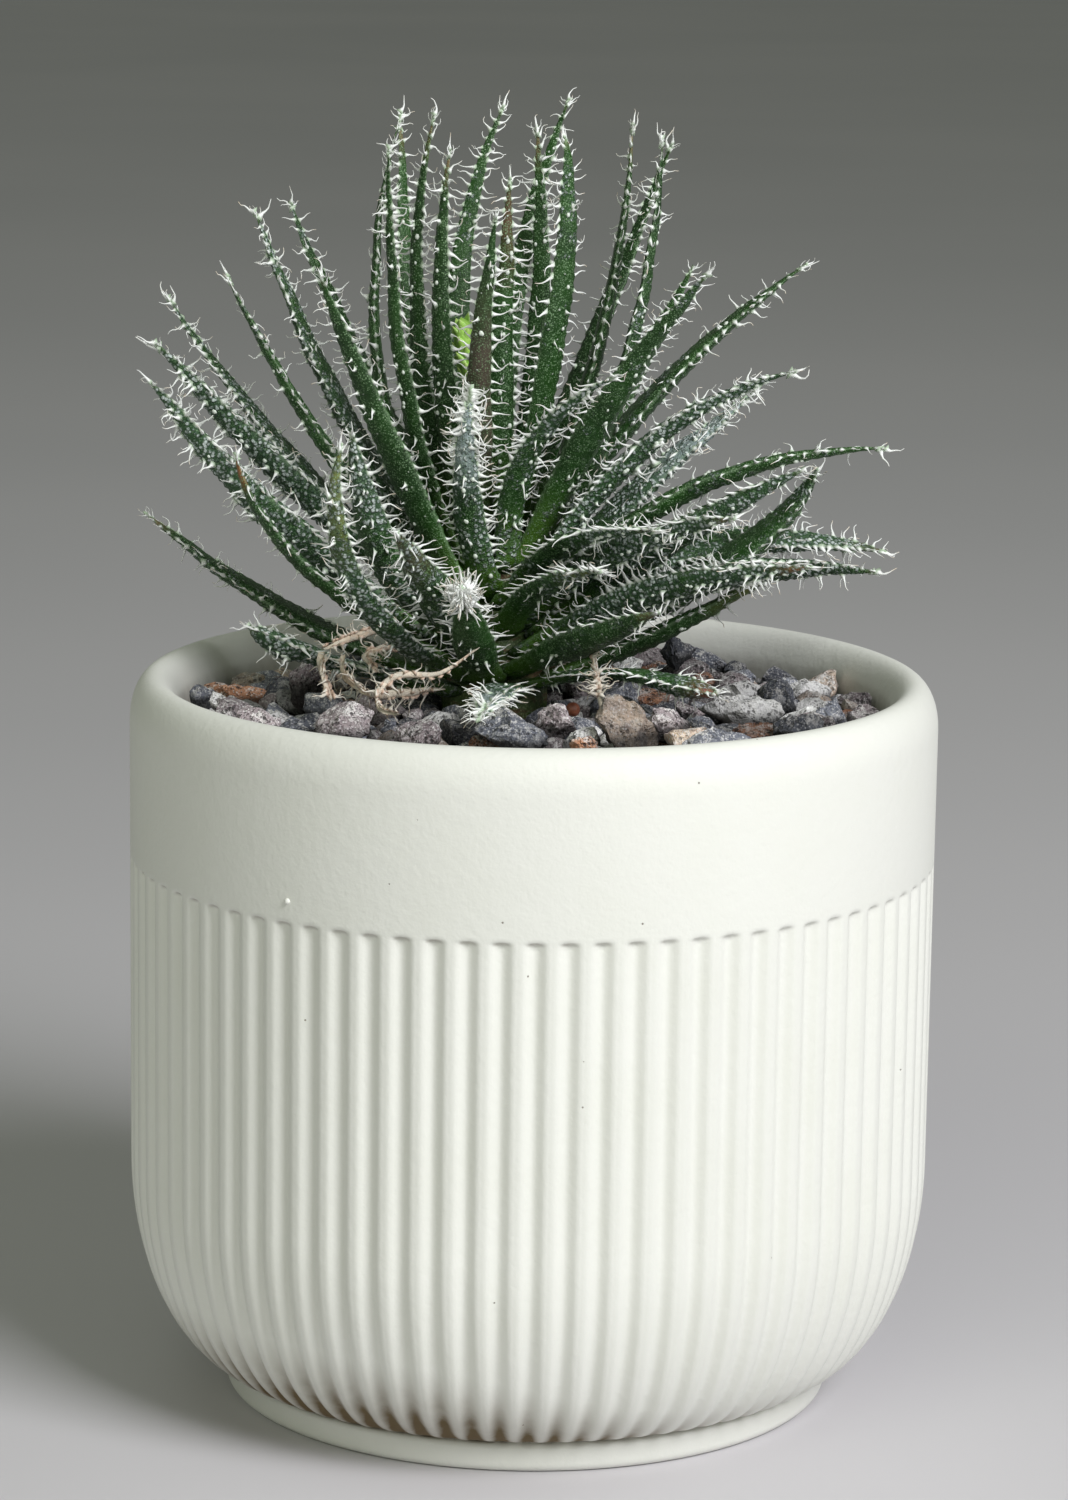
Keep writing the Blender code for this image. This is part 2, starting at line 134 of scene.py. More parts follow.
class NodeBench:
    """Lays shader nodes in a tree and joins them up; place is the coordinates that its patterns follow."""

    tree: bpy.types.NodeTree
    place: Signal
    shader: bpy.types.Node

    @staticmethod
    def bare(value: object) -> object:
        """The socket of a signal, or the value itself."""
        return value.socket if isinstance(value, Signal) else value

    def feed(self, socket: bpy.types.NodeSocket, value: object) -> None:
        """Joins a signal to an input, or sets the input to a number or a colour.

        Args:
            socket: The input.
            value: The signal, number or colour.
        """
        if isinstance(value, Signal):
            self.tree.links.new(value.socket, socket)
        elif isinstance(value, tuple) and socket.type == "RGBA":
            socket.default_value = (*value, 1.0)
        else:
            socket.default_value = value

    def add(self, kind: str, inputs: dict, **settings: object) -> bpy.types.Node:
        """Adds one node.

        Args:
            kind: The node's type, without its ShaderNode prefix.
            inputs: A value or a signal for each input, by name or number.
            settings: The node's own options.

        Returns:
            The new node.
        """
        node = self.tree.nodes.new("ShaderNode" + kind)
        for option, value in settings.items():
            setattr(node, option, value)
        for key, value in inputs.items():
            self.feed(node.inputs[key], value)
        return node

    def out(self, kind: str, inputs: dict, output: int | str = 0, **settings: object) -> Signal:
        """Adds one node and takes one of its outputs."""
        return Signal(self, self.add(kind, inputs, **settings).outputs[output])

    def math(self, operation: str, first: object, second: object) -> Signal:
        """One step of arithmetic, such as MULTIPLY."""
        return self.out("Math", {0: first, 1: second}, operation=operation)

    def mix(self, share: object, first: object, second: object, blend: str = "MIX") -> Signal:
        """The first colour with a share of the second mixed in."""
        return self.out("Mix", {0: share, 6: first, 7: second}, 2, data_type="RGBA", blend_type=blend)

    def noise(self, size: float | Signal, detail: float = 2.0, rough: float = 0.55,
              place: Signal | None = None) -> Signal:
        """Soft noise between 0 and 1.

        Args:
            size: Its lumps' size in metres, or its scale as a signal.
            detail: How many finer layers it has.
            rough: How strong the finer layers are.
            place: The coordinates, where they aren't the material's own.

        Returns:
            The noise.
        """
        scale = size if isinstance(size, Signal) else 1.0 / size
        inputs = {"Vector": place or self.place, "Scale": scale, "Detail": detail, "Roughness": rough}
        return self.out("TexNoise", inputs)

    def cells(self, size: float, output: str = "Distance") -> Signal:
        """The distance to the nearest of many scattered points, in cells, or that point's random colour."""
        return self.out("TexVoronoi", {"Vector": self.place, "Scale": 1.0 / size}, output)

    def attribute(self, name: str, output: str = "Color") -> Signal:
        """A value that the mesh carries on its vertices."""
        return self.out("Attribute", {}, output, attribute_name=name)

    def channels(self, colour: Signal) -> tuple[Signal, Signal, Signal]:
        """A colour's three channels."""
        outputs = self.add("SeparateColor", {0: colour}).outputs
        return Signal(self, outputs[0]), Signal(self, outputs[1]), Signal(self, outputs[2])

    def shared(self, effect: str, inputs: dict) -> list[Signal]:
        """Places a shared effect.

        Args:
            effect: The name of its node group.
            inputs: A value or a signal for each input besides the coordinates.

        Returns:
            What it puts out.
        """
        node = self.add("Group", {}, node_tree=bpy.data.node_groups[effect])
        for key, value in {"Place": self.place, **inputs}.items():
            self.feed(node.inputs[key], value)
        return [Signal(self, output) for output in node.outputs]

    def grains(self, size: float) -> list[Signal]:
        """Fine grains of a size: how much of one there is, and its height."""
        return self.shared("fine_grain", {"Size": size})

    def crusts(self, size: float, amount: float | Signal) -> Signal:
        """Ragged patches of a size that cover more or less of the surface."""
        return self.shared("ragged_crust", {"Size": size, "Amount": amount})[0]

    def surface(self, colour: Signal, rough: Signal, relief: Signal, depth: float, strength: float = 1.0) -> None:
        """Feeds the shader.

        Args:
            colour: The base colour.
            rough: The roughness.
            relief: A height map from 0 to 1.
            depth: How far 1 stands above 0, in metres.
            strength: The strength of the bump.
        """
        self.feed(self.shader.inputs["Base Color"], colour)
        self.feed(self.shader.inputs["Roughness"], rough)
        bump = self.out("Bump", {"Height": relief, "Distance": depth, "Strength": strength})
        self.feed(self.shader.inputs["Normal"], bump)


class SharedEffect(NodeBench):
    """A shader node group that several finishes share, as it is being laid."""

    def __init__(self, name: str, inputs: dict[str, float], outputs: tuple[str, ...]) -> None:
        """Opens the group.

        Args:
            name: The group's name.
            inputs: The default of each number that goes in, besides the coordinates.
            outputs: The names of the numbers that come out.
        """
        self.tree = bpy.data.node_groups.new(name, "ShaderNodeTree")
        self.tree.interface.new_socket("Place", in_out="INPUT", socket_type="NodeSocketVector")
        for key, default in inputs.items():
            socket = self.tree.interface.new_socket(key, in_out="INPUT", socket_type="NodeSocketFloat")
            socket.default_value = default
        for key in outputs:
            self.tree.interface.new_socket(key, in_out="OUTPUT", socket_type="NodeSocketFloat")
        self.entry = self.tree.nodes.new("NodeGroupInput").outputs
        self.leave = self.tree.nodes.new("NodeGroupOutput").inputs
        self.place = self.input("Place")
        self.scale = self.math("DIVIDE", 1.0, self.input("Size"))

    def input(self, key: str) -> Signal:
        """One of the group's inputs."""
        return Signal(self, self.entry[key])


def lay_grain() -> None:
    """Lays the effect for fine grains, which leaf skins, stones and soil share."""
    effect = SharedEffect("fine_grain", {"Size": 0.2 * MM}, ("Grain", "Height"))
    granules = effect.add("TexVoronoi", {"Vector": effect.place, "Scale": effect.scale}).outputs
    cell = Signal(effect, granules["Distance"])
    bright = effect.channels(Signal(effect, granules["Color"]))[0].ramp(0.15, 0.95)
    wide = effect.noise(effect.scale * 0.16, 3.0, 0.5)
    effect.feed(effect.leave["Grain"], cell.ramp(0.62, 0.25) * bright * wide.ramp(0.25, 0.55))
    effect.feed(effect.leave["Height"], cell.ramp(0.8, 0.1) * 0.6 + wide * 0.8)


def lay_crust() -> None:
    """Lays the effect for ragged patches: scurf on leaves and husks, lime on stones, dust on the pellet."""
    effect = SharedEffect("ragged_crust", {"Size": 2.0 * MM, "Amount": 0.5}, ("Mask",))
    broad = effect.noise(effect.scale, 5.0, 0.72)
    fine = effect.noise(effect.scale * 9.0, 2.0, 0.5)
    start = 0.74 - effect.input("Amount") * 0.52
    effect.feed(effect.leave["Mask"], (broad * 0.75 + fine * 0.25 - start).ramp(-0.02, 0.05))


@dataclass
class Finish(NodeBench):
    """A surface finish: its name, and the roughness of its bare surface."""

    name: str
    roughness: float = 0.6

    def make(self) -> None:
        """Makes the material, which pieces take by the finish's name."""
        made = bpy.data.materials.new(self.name)
        made.use_nodes = True
        self.tree = made.node_tree
        self.shader = self.tree.nodes["Principled BSDF"]
        self.shader.inputs["Roughness"].default_value = self.roughness
        self.place = self.out("TexCoord", {}, "Object")
        self.dress()

    def dress(self) -> None:
        """Adds the finish's own nodes; each kind of finish has its own."""
        raise NotImplementedError


@dataclass
class GlazeFinish(Finish):
    """Matte off-white glaze: faint orange peel, specks, and grime mixed with painted shade in the flutes and
    crease.
    """

    colour: Colour = (0.82, 0.825, 0.778)
    thin_colour: Colour = (0.765, 0.775, 0.700)
    # Brown grime colour, also used as painted shade in the flute valleys, the crease over the foot and under the
    # flutes' upper ends.
    grime_shade_colour: Colour = (0.140, 0.100, 0.048)
    # The colour that the inner wall darkens to towards the gravel.
    inner_wall_dark: Colour = (0.16, 0.125, 0.09)
    speck_colour: Colour = (0.16, 0.12, 0.085)
    speck_spacing: float = 2.6 * MM
    foot_height: float = 3.1 * MM
    band_bottom: float = 54.9 * MM
    inner_radius: float = 35.6 * MM

    def grime_and_shade_share(self, across: Signal, depth: Signal, height: Signal) -> Signal:
        """How much grime and painted shade the outside takes: in the flutes above the foot, in the crease over it,
        and under the flutes' upper ends.

        Args:
            across: The place along X; the left side, which lies in shade, gets more.
            depth: The place along Y; the front gets more.
            height: The height.

        Returns:
            The share of grime and painted shade.
        """
        flute = self.attribute("flute", "Fac")
        # 1 on the left, the side in shade, where the grime and painted shade are strongest.
        side = across.ramp(22.0 * MM, -12.0 * MM)
        reach = side * (6.4 * MM) + 3.2 * MM
        low = (1.0 - (height - self.foot_height) / reach).most(0.0)
        soft = self.noise(2.4 * MM, 4.0).ramp(0.3, 0.7)
        front_left_weight = depth.ramp(10.0 * MM, -20.0 * MM) * (side * 0.65 + 0.35)
        above = height.ramp(self.foot_height - 0.1 * MM, self.foot_height + 0.2 * MM)
        # Grime with painted shade, darkest in the flute valleys low over the foot, most at the front and on the
        # shaded left.
        valley_grime_and_shade = low * (low * 0.6 + 0.5) * above * (flute + (side * 0.36 + 0.13))
        valley_grime_and_shade = valley_grime_and_shade * (soft * 0.25 + 0.85) * (front_left_weight * 0.90 + 0.24)
        # A brown line with painted shade in the crease over the foot, stronger on the shaded left.
        crease = height.ramp(self.foot_height - 0.35 * MM, self.foot_height)
        crease = crease * height.ramp(self.foot_height + 0.6 * MM, self.foot_height + 0.1 * MM)
        crease = crease * (soft * (side * 0.85) + 0.28)
        # A brown line and a painted shadow under each flute's upper end, stronger on the shaded left.
        cap = height.ramp(self.band_bottom - 0.7 * MM, self.band_bottom - 0.2 * MM)
        cap = cap * (flute.ramp(0.05, 0.5) * (side * 0.35 + 0.10))
        return valley_grime_and_shade.most(crease).most(cap)

    def dress(self) -> None:
        """Adds the glaze's nodes."""
        axes = [Signal(self, output) for output in self.add("SeparateXYZ", {0: self.place}).outputs]
        height = axes[2]
        radius = self.place.vector("MULTIPLY", (1.0, 1.0, 0.0)).vector("LENGTH", output="Value")
        inside = radius.ramp(self.inner_radius, self.inner_radius - 0.4 * MM) * height.ramp(58.0 * MM, 60.0 * MM)
        cloud = self.noise(9.0 * MM, 3.0)
        colour = self.mix(cloud.ramp(0.35, 0.75) * 0.25, self.colour, self.thin_colour)
        grime_and_shade_share = self.grime_and_shade_share(*axes)
        # Mixes in the grime with its painted shade.
        colour = self.mix(grime_and_shade_share, colour, self.grime_shade_colour)
        # The inner wall darkens in mottled patches towards the gravel.
        low_inside = inside * height.ramp(71.4 * MM, 69.4 * MM)
        colour = self.mix(low_inside * (self.noise(1.6 * MM, 5.0) * 0.8), colour, self.inner_wall_dark)
        spot = self.cells(self.speck_spacing).ramp(0.045, 0.028)
        speck = spot * self.channels(self.cells(self.speck_spacing, "Color"))[0].ramp(0.82, 0.84)
        colour = self.mix(speck * 0.75, colour, self.speck_colour)
        peel = self.noise(1.1 * MM) * 0.55 + self.noise(0.4 * MM) * 0.25 - speck * 0.8
        rough = cloud * 0.12 + (self.roughness - 0.06) + grime_and_shade_share * 0.3
        self.surface(colour, rough, peel, 0.11 * MM, 0.8)


@dataclass
class LeafSkin(Finish):
    """Dark green skin with pale grains, white bumps and scurf; it reads the leaf's growth and tip."""

    deep: Colour = (0.005, 0.024, 0.004)
    light: Colour = (0.022, 0.086, 0.011)
    grain: Colour = (0.26, 0.42, 0.22)
    base: Colour = (0.090, 0.200, 0.018)
    edge: Colour = (0.22, 0.33, 0.19)
    dot: Colour = (0.58, 0.66, 0.56)
    scurf: Colour = (0.62, 0.69, 0.68)
    film: Colour = (0.055, 0.105, 0.070)
    grain_size: float = 0.17 * MM
    dot_spacing: float = 0.95 * MM
    scurf_size: float = 1.5 * MM
    shine: float = 0.38

    def dress(self) -> None:
        """Adds the skin's nodes."""
        along, edge, scurf = self.channels(self.attribute("growth"))
        tone = self.attribute("growth", "Alpha")
        tip, dry = self.attribute("tip"), self.attribute("tip", "Alpha")
        broad = self.noise(5.0 * MM, 3.0).ramp(0.3, 0.7)
        colour = self.mix(broad * 0.55 + tone * 0.45, self.deep, self.light)
        colour = self.mix(along.ramp(0.28, 0.02) * 0.70, colour, self.base)
        colour = self.mix(dry * self.noise(1.6 * MM, 3.0).ramp(0.15, 0.6), colour, tip)
        grain, height = self.grains(self.grain_size)
        colour = self.mix(grain * (tone * 0.3 + 0.58), colour, self.grain)
        colour = self.mix(edge.ramp(0.82, 1.0) * 0.42, colour, self.edge)
        dots = self.cells(self.dot_spacing).ramp(0.17, 0.09) * 0.8
        colour = self.mix(dots, colour, self.dot)
        flakes = self.cells(0.45 * MM).ramp(0.62, 0.30)
        mask = self.crusts(self.scurf_size, scurf) * (flakes * 0.6 + 0.4)
        powder = self.mix(self.noise(0.8 * MM, 4.0).ramp(0.34, 0.56) * flakes, self.film, self.scurf)
        colour = self.mix(mask * 0.85, colour, powder)
        self.shader.inputs["Specular IOR Level"].default_value = self.shine
        relief = height * 0.35 + dots * 0.9 + mask * (flakes * 0.6 + 0.3)
        self.surface(colour, mask * 0.35 + self.roughness, relief, 0.20 * MM)


@dataclass
class ToothFinish(Finish):
    """White horn of the teeth: greenish at the foot, cream to tan at the point."""

    foot: Colour = (0.46, 0.58, 0.42)
    dry_foot: Colour = (0.66, 0.48, 0.38)
    shaft: Colour = (0.95, 0.965, 0.955)
    dry_shaft: Colour = (0.87, 0.81, 0.73)
    dull: Colour = (0.52, 0.58, 0.50)
    point: Colour = (0.62, 0.47, 0.30)

    def dress(self) -> None:
        """Adds the horn's nodes."""
        along, dry, tan = self.channels(self.attribute("growth"))
        cloud = self.noise(1.2 * MM)
        foot, shaft = self.mix(dry, self.foot, self.dry_foot), self.mix(dry, self.shaft, self.dry_shaft)
        colour = self.mix(along.ramp(0.02, 0.22), foot, shaft)
        colour = self.mix(cloud.ramp(0.35, 0.75) * 0.12, colour, self.dull)
        colour = self.mix(along.ramp(0.55, 1.0) * tan, colour, self.point)
        self.surface(colour, cloud * 0.2 + self.roughness, self.noise(0.25 * MM), 0.03 * MM, 0.5)


@dataclass
class HuskFinish(Finish):
    """Dried leaf and sheath: papery tan and pink with brown streaks and bits of scurf."""

    pale: Colour = (0.84, 0.75, 0.63)
    blush: Colour = (0.62, 0.46, 0.34)
    brown: Colour = (0.12, 0.065, 0.035)
    scurf: Colour = (0.62, 0.60, 0.54)

    def dress(self) -> None:
        """Adds the husk's nodes."""
        broad = self.noise(2.6 * MM, 3.0).ramp(0.42, 0.74)
        colour = self.mix(broad, self.pale, self.blush)
        colour = self.mix(self.noise(0.7 * MM, 4.0).ramp(0.52, 0.75) * 0.7, colour, self.brown)
        crust = self.crusts(1.1 * MM, 0.45)
        colour = self.mix(crust * 0.6, colour, self.scurf)
        relief = self.noise(0.6 * MM, 4.0) + crust * 0.4
        self.surface(colour, broad * 0.2 + self.roughness, relief, 0.12 * MM, 0.9)


@dataclass
class StemFinish(Finish):
    """Pale green flesh of the stem, with brown rings where old leaves came away."""

    flesh: Colour = (0.055, 0.095, 0.025)
    scar: Colour = (0.10, 0.06, 0.03)
    grain: Colour = (0.40, 0.46, 0.24)

    def dress(self) -> None:
        """Adds the stem's nodes."""
        squeezed = self.place.vector("MULTIPLY", (1.0, 1.0, 3.5))
        rings = self.noise(3.0 * MM, 4.0, place=squeezed).ramp(0.48, 0.66)
        grain, height = self.grains(0.25 * MM)
        colour = self.mix(grain * 0.3, self.mix(rings, self.flesh, self.scar), self.grain)
        self.surface(colour, rings * 0.3 + self.roughness, height, 0.10 * MM, 0.8)


@dataclass
class BudFinish(Finish):
    """Fresh lime green of the flower bud, paler along the edge of each bract."""

    lime: Colour = (0.52, 0.86, 0.18)
    shade: Colour = (0.27, 0.60, 0.05)
    rim: Colour = (0.74, 0.95, 0.50)
    tip: Colour = (0.62, 0.70, 0.30)

    def dress(self) -> None:
        """Adds the bud's nodes."""
        along, edge, _ = self.channels(self.attribute("growth"))
        cloud = self.noise(0.9 * MM, 3.0)
        colour = self.mix(cloud * 0.5, self.lime, self.shade)
        colour = self.mix(edge.ramp(0.55, 1.0) * 0.6, colour, self.rim)
        colour = self.mix(along.ramp(0.7, 1.0) * 0.6, colour, self.tip)
        self.surface(colour, cloud * 0.2 + self.roughness, self.noise(0.2 * MM), 0.04 * MM, 0.6)


@dataclass
class StoneFinish(Finish):
    """Lava and pumice gravel: a body colour with flecks, pores painted dark as shade, a little lime, and painted
    shade low on each stone.
    """

    body: Colour = (0.10, 0.10, 0.12)
    other: Colour = (0.16, 0.14, 0.16)
    fleck: Colour = (0.80, 0.79, 0.80)
    frost: Colour = (0.74, 0.72, 0.71)
    # Near-black painted shade inside the pores.
    pore_shade: Colour = (0.014, 0.012, 0.013)
    crust: float = 0.42
    pores: float = 0.6

    def dress(self) -> None:
        """Adds the stone's nodes; each stone's own tone shifts its pattern and its brightness, and the height on
        each stone paints shade low down and lightens the lime on top.
        """
        # The dust attribute is each vertex's height on its stone, from -1 low down to 1 on top, used for painted
        # shade and painted light.
        tone, dust = self.attribute("tone", "Fac"), self.attribute("dust", "Fac")
        self.place = self.place.vector("ADD", self.attribute("tone", "Vector"))
        broad = self.noise(2.2 * MM, 4.0).ramp(0.32, 0.70)
        colour = self.mix(broad * 0.6 + tone * 0.4, self.body, self.other)
        grain, height = self.grains(0.24 * MM)
        colour = self.mix(grain * 0.56, colour, self.fleck)
        # Lime crust, lighter on each stone's upper side as painted light.
        frost = self.crusts(1.3 * MM, self.crust) * (dust.ramp(0.1, 0.9) * 0.5 + 0.25)
        colour = self.mix(frost, colour, self.frost)
        small = self.cells(0.27 * MM).ramp(0.42, 0.2) * 0.75
        gather = self.noise(1.4 * MM, 3.0).ramp(0.40, 0.56)
        pits = self.cells(0.62 * MM).ramp(0.40, 0.22).most(small) * gather * self.pores
        # Pores: small holes, painted near black as the shade inside them.
        colour = self.mix(pits * 0.85, colour, self.pore_shade)
        # Painted shade: each stone darkens towards its lower part, where it sits among the others; its own tone
        # sets its overall brightness.
        shade = (tone * 1.45 + 0.52) * (dust.ramp(-0.22, 0.34) * 0.86 + 0.16)
        tone_and_shade = self.out("CombineColor", {0: shade, 1: shade, 2: shade})
        colour = self.mix(1.0, colour, tone_and_shade, "MULTIPLY")
        relief = height * 0.25 + self.noise(0.9 * MM, 7.0, 0.66) * 2.6 - pits * 0.8
        self.surface(colour, broad * 0.1 + self.roughness, relief, 0.40 * MM)


@dataclass
class SoilFinish(Finish):
    """Dark damp crumb between and under the stones."""

    damp: Colour = (0.018, 0.013, 0.010)
    brown: Colour = (0.060, 0.040, 0.028)
    grain: Colour = (0.16, 0.11, 0.075)

    def dress(self) -> None:
        """Adds the crumb's nodes."""
        grain, height = self.grains(0.6 * MM)
        broad = self.noise(2.5 * MM, 4.0).ramp(0.35, 0.68)
        colour = self.mix(grain * 0.5, self.mix(broad, self.damp, self.brown), self.grain)
        self.surface(colour, broad * 0.1 + self.roughness, height, 0.5 * MM)


@dataclass
class PelletFinish(Finish):
    """Red-brown resin coat of the feed pellet, scuffed and dusty in places."""

    resin: Colour = (0.26, 0.085, 0.045)
    dark: Colour = (0.16, 0.045, 0.025)
    dust: Colour = (0.48, 0.34, 0.26)

    def dress(self) -> None:
        """Adds the coat's nodes."""
        dust = self.crusts(0.5 * MM, 0.35)
        colour = self.mix(self.noise(0.6 * MM, 3.0).ramp(0.35, 0.7), self.resin, self.dark)
        colour = self.mix(dust * 0.5, colour, self.dust)
        self.surface(colour, dust * 0.4 + self.roughness, self.noise(0.3 * MM, 3.0), 0.04 * MM, 0.7)


@dataclass
class FloorFinish(Finish):
    """Plain pale studio paper."""

    paper: Colour = (0.60, 0.585, 0.615)
    bright: Colour = (0.64, 0.62, 0.65)

    def dress(self) -> None:
        """Sets the paper's colour."""
        colour = self.mix(self.noise(0.3).ramp(0.2, 0.8), self.paper, self.bright)
        self.feed(self.shader.inputs["Base Color"], colour)


FINISHES = (
    GlazeFinish("matte_glaze", 0.58),
    LeafSkin("leaf_skin", 0.44),
    ToothFinish("tooth_horn", 0.40),
    HuskFinish("dry_husk", 0.80),
    StemFinish("stem_flesh", 0.50),
    BudFinish("lime_bract", 0.5),
    StoneFinish("slate_stone", 0.72, (0.070, 0.077, 0.102), (0.190, 0.200, 0.242)),
    StoneFinish("mauve_lava", 0.88, (0.150, 0.118, 0.128), (0.340, 0.290, 0.305), pores=1.0),
    StoneFinish("rust_lava", 0.88, (0.240, 0.100, 0.055), (0.580, 0.300, 0.180), pores=1.0),
    StoneFinish("tan_pumice", 0.88, (0.270, 0.235, 0.240), (0.740, 0.570, 0.430), pores=0.7),
    StoneFinish("pale_pumice", 0.88, (0.500, 0.490, 0.500), (0.820, 0.810, 0.815), pores=0.9),
    SoilFinish("damp_crumb", 0.90),
    PelletFinish("pellet_resin", 0.45),
    FloorFinish("studio_paper", 0.9),
)


# ---- Mesh helpers ----
def middle_of(node: str) -> Vector:
    """The middle of a solid's box."""
    low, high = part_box(node)
    return 0.5 * (low + high)


def mesh_of(bm: BMesh, name: str, *finishes: str) -> bpy.types.Mesh:
    """Turns a finished bmesh into a mesh.

    Args:
        bm: The bmesh, which is freed.
        name: The mesh's name.
        finishes: The names of its finishes, in the order of its faces' material numbers.

    Returns:
        The mesh.
    """
    mesh = bpy.data.meshes.new(name)
    bm.to_mesh(mesh)
    bm.free()
    for finish in finishes:
        mesh.materials.append(bpy.data.materials[finish])
    return mesh


def show(name: str, data: bpy.types.ID) -> bpy.types.Object:
    """Puts a mesh, a light or a camera in the scene.

    Args:
        name: The object's name.
        data: What it shows.

    Returns:
        The object.
    """
    thing = bpy.data.objects.new(name, data)
    bpy.context.scene.collection.objects.link(thing)
    return thing


def make_piece(name: str, bm: BMesh, finishes: tuple[str, ...], stands_for: tuple[str, ...] = (),
               sharp: float = 180.0) -> None:
    """Turns a finished bmesh into a piece of the object.

    Args:
        name: The piece's name.
        bm: Its mesh, which is freed.
        finishes: The names of its finishes, in the order of its faces' material numbers.
        stands_for: The solids that it replaces.
        sharp: The angle in degrees past which an edge stays sharp.
    """
    mesh = mesh_of(bm, name, *finishes)
    mesh.shade_smooth()
    if sharp < 180.0:
        mesh.set_sharp_from_angle(angle=math.radians(sharp))
    piece = show(name, mesh)
    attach(piece, ROOT)
    if stands_for:
        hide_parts(*stands_for)
    mesh.calc_loop_triangles()
    LOG.info("%s: %d triangles", name, len(mesh.loop_triangles))


def arc(centre: tuple[float, float], radii: tuple[float, float], start: float, end: float, steps: int) -> Profile:
    """Points along part of an ellipse, from one angle in degrees to another."""
    turns = [math.radians(start + (end - start) * step / steps) for step in range(steps + 1)]
    return [(centre[0] + radii[0] * math.cos(turn), centre[1] + radii[1] * math.sin(turn)) for turn in turns]


def turned(profile: Profile, steps: int) -> BMesh:
    """Spins a closed or axis-to-axis outline round the Z axis.

    Args:
        profile: The outline as radius and height.
        steps: How many steps go round.

    Returns:
        The turned mesh, with its faces outwards.
    """
    bm = bmesh.new()
    verts = [bm.verts.new((radius, 0.0, height)) for radius, height in profile]
    edges = [bm.edges.new(pair) for pair in zip(verts, verts[1:])]
    if profile[0][0] > 0.0:
        edges.append(bm.edges.new((verts[-1], verts[0])))
    bmesh.ops.spin(bm, geom=verts + edges, cent=(0.0, 0.0, 0.0), axis=UP, angle=math.tau, steps=steps,
                   use_merge=True, use_duplicate=False)
    bmesh.ops.remove_doubles(bm, verts=bm.verts, dist=WELD)
    bmesh.ops.recalc_face_normals(bm, faces=bm.faces)
    return bm


def ellipse(centre: Vector, across: Vector, upper: Vector, wide: float, tall: float, sides: int) -> list[Vector]:
    """A ring of points round a centre, so wide along one direction and so tall along another."""
    return [centre + across * (wide * out) + upper * (tall * rise) for out, rise in circle(sides)]


def loft(bm: BMesh, rings: list[list[Vector]], point: Vector) -> list[list[bmesh.types.BMVert]]:
    """Draws a closed body through rings of points.

    Args:
        bm: The mesh that it goes into.
        rings: The rings, each with the same number of points.
        point: Where the body ends in a point past its last ring.

    Returns:
        The vertices of each ring, and of the point.
    """
    first = bmesh.ops.create_circle(bm, cap_ends=True, radius=MM, segments=len(rings[0]))["verts"]
    face = first[0].link_faces[0]
    made = []
    for number, ring in enumerate(rings):
        if number:
            face = bmesh.ops.extrude_discrete_faces(bm, faces=[face])["faces"][0]
        for vert, place in zip(face.verts, ring):
            vert.co = place
        made.append(list(face.verts))
    face = bmesh.ops.extrude_discrete_faces(bm, faces=[face])["faces"][0]
    last = list(face.verts)
    bmesh.ops.pointmerge(bm, verts=last, merge_co=point)
    made.append([vert for vert in last if vert.is_valid])
    bmesh.ops.holes_fill(bm, edges=[edge for edge in bm.edges if edge.is_boundary], sides=0)
    return made


def stamp(bm: BMesh, shape: bpy.types.Mesh, matrix: Matrix) -> list[bmesh.types.BMVert]:
    """Adds a copy of a ready-made shape.

    Args:
        bm: The mesh that it goes into.
        shape: The ready-made shape.
        matrix: Where the copy goes.

    Returns:
        The copy's vertices.
    """
    before = len(bm.verts)
    bm.from_mesh(shape)
    bm.verts.ensure_lookup_table()
    fresh = bm.verts[before:]
    bmesh.ops.transform(bm, matrix=matrix, verts=fresh)
    return fresh


def placed(origin: Vector, x_axis: Vector, z_axis: Vector, scale: Vector) -> Matrix:
    """A placing matrix with Z along one direction and X as near as it can be to another.

    Args:
        origin: Where the shape's origin goes.
        x_axis: Where its X axis points, roughly.
        z_axis: Where its Z axis points.
        scale: Its scale along each of its axes.

    Returns:
        The matrix.
    """
    up = z_axis.normalized()
    right = (x_axis - up * x_axis.dot(up)).normalized()
    ahead = up.cross(right)
    matrix = Matrix((right * scale.x, ahead * scale.y, up * scale.z)).transposed().to_4x4()
    matrix.translation = origin
    return matrix


def plant_mesh() -> BMesh:
    """Starts a mesh whose vertices say how the plant grows there and how its tip has dried.

    Returns:
        The mesh.
    """
    bm = bmesh.new()
    bm.verts.layers.float_color.new("growth")
    bm.verts.layers.float_color.new("tip")
    return bm


def mark(bm: BMesh, verts: list[bmesh.types.BMVert], along: float) -> None:
    """Marks vertices with how far along they grow.

    Args:
        bm: Their mesh.
        verts: The vertices.
        along: The share, from 0 at the base to 1 at the tip.
    """
    growth = bm.verts.layers.float_color["growth"]
    for vert in verts:
        vert[growth] = (along, 0.0, 0.0, 0.5)


def set_tooth(bm: BMesh, shape: bpy.types.Mesh, matrix: Matrix, dry: float, tan: float) -> None:
    """Adds a copy of a ready-made tooth.

    Args:
        bm: The mesh that it goes into.
        shape: The tooth.
        matrix: Where it goes.
        dry: How dry it is.
        tan: How tan its point is.
    """
    growth = bm.verts.layers.float_color["growth"]
    for vert in stamp(bm, shape, matrix):
        vert[growth] = (vert[growth][0], dry, tan, 0.5)


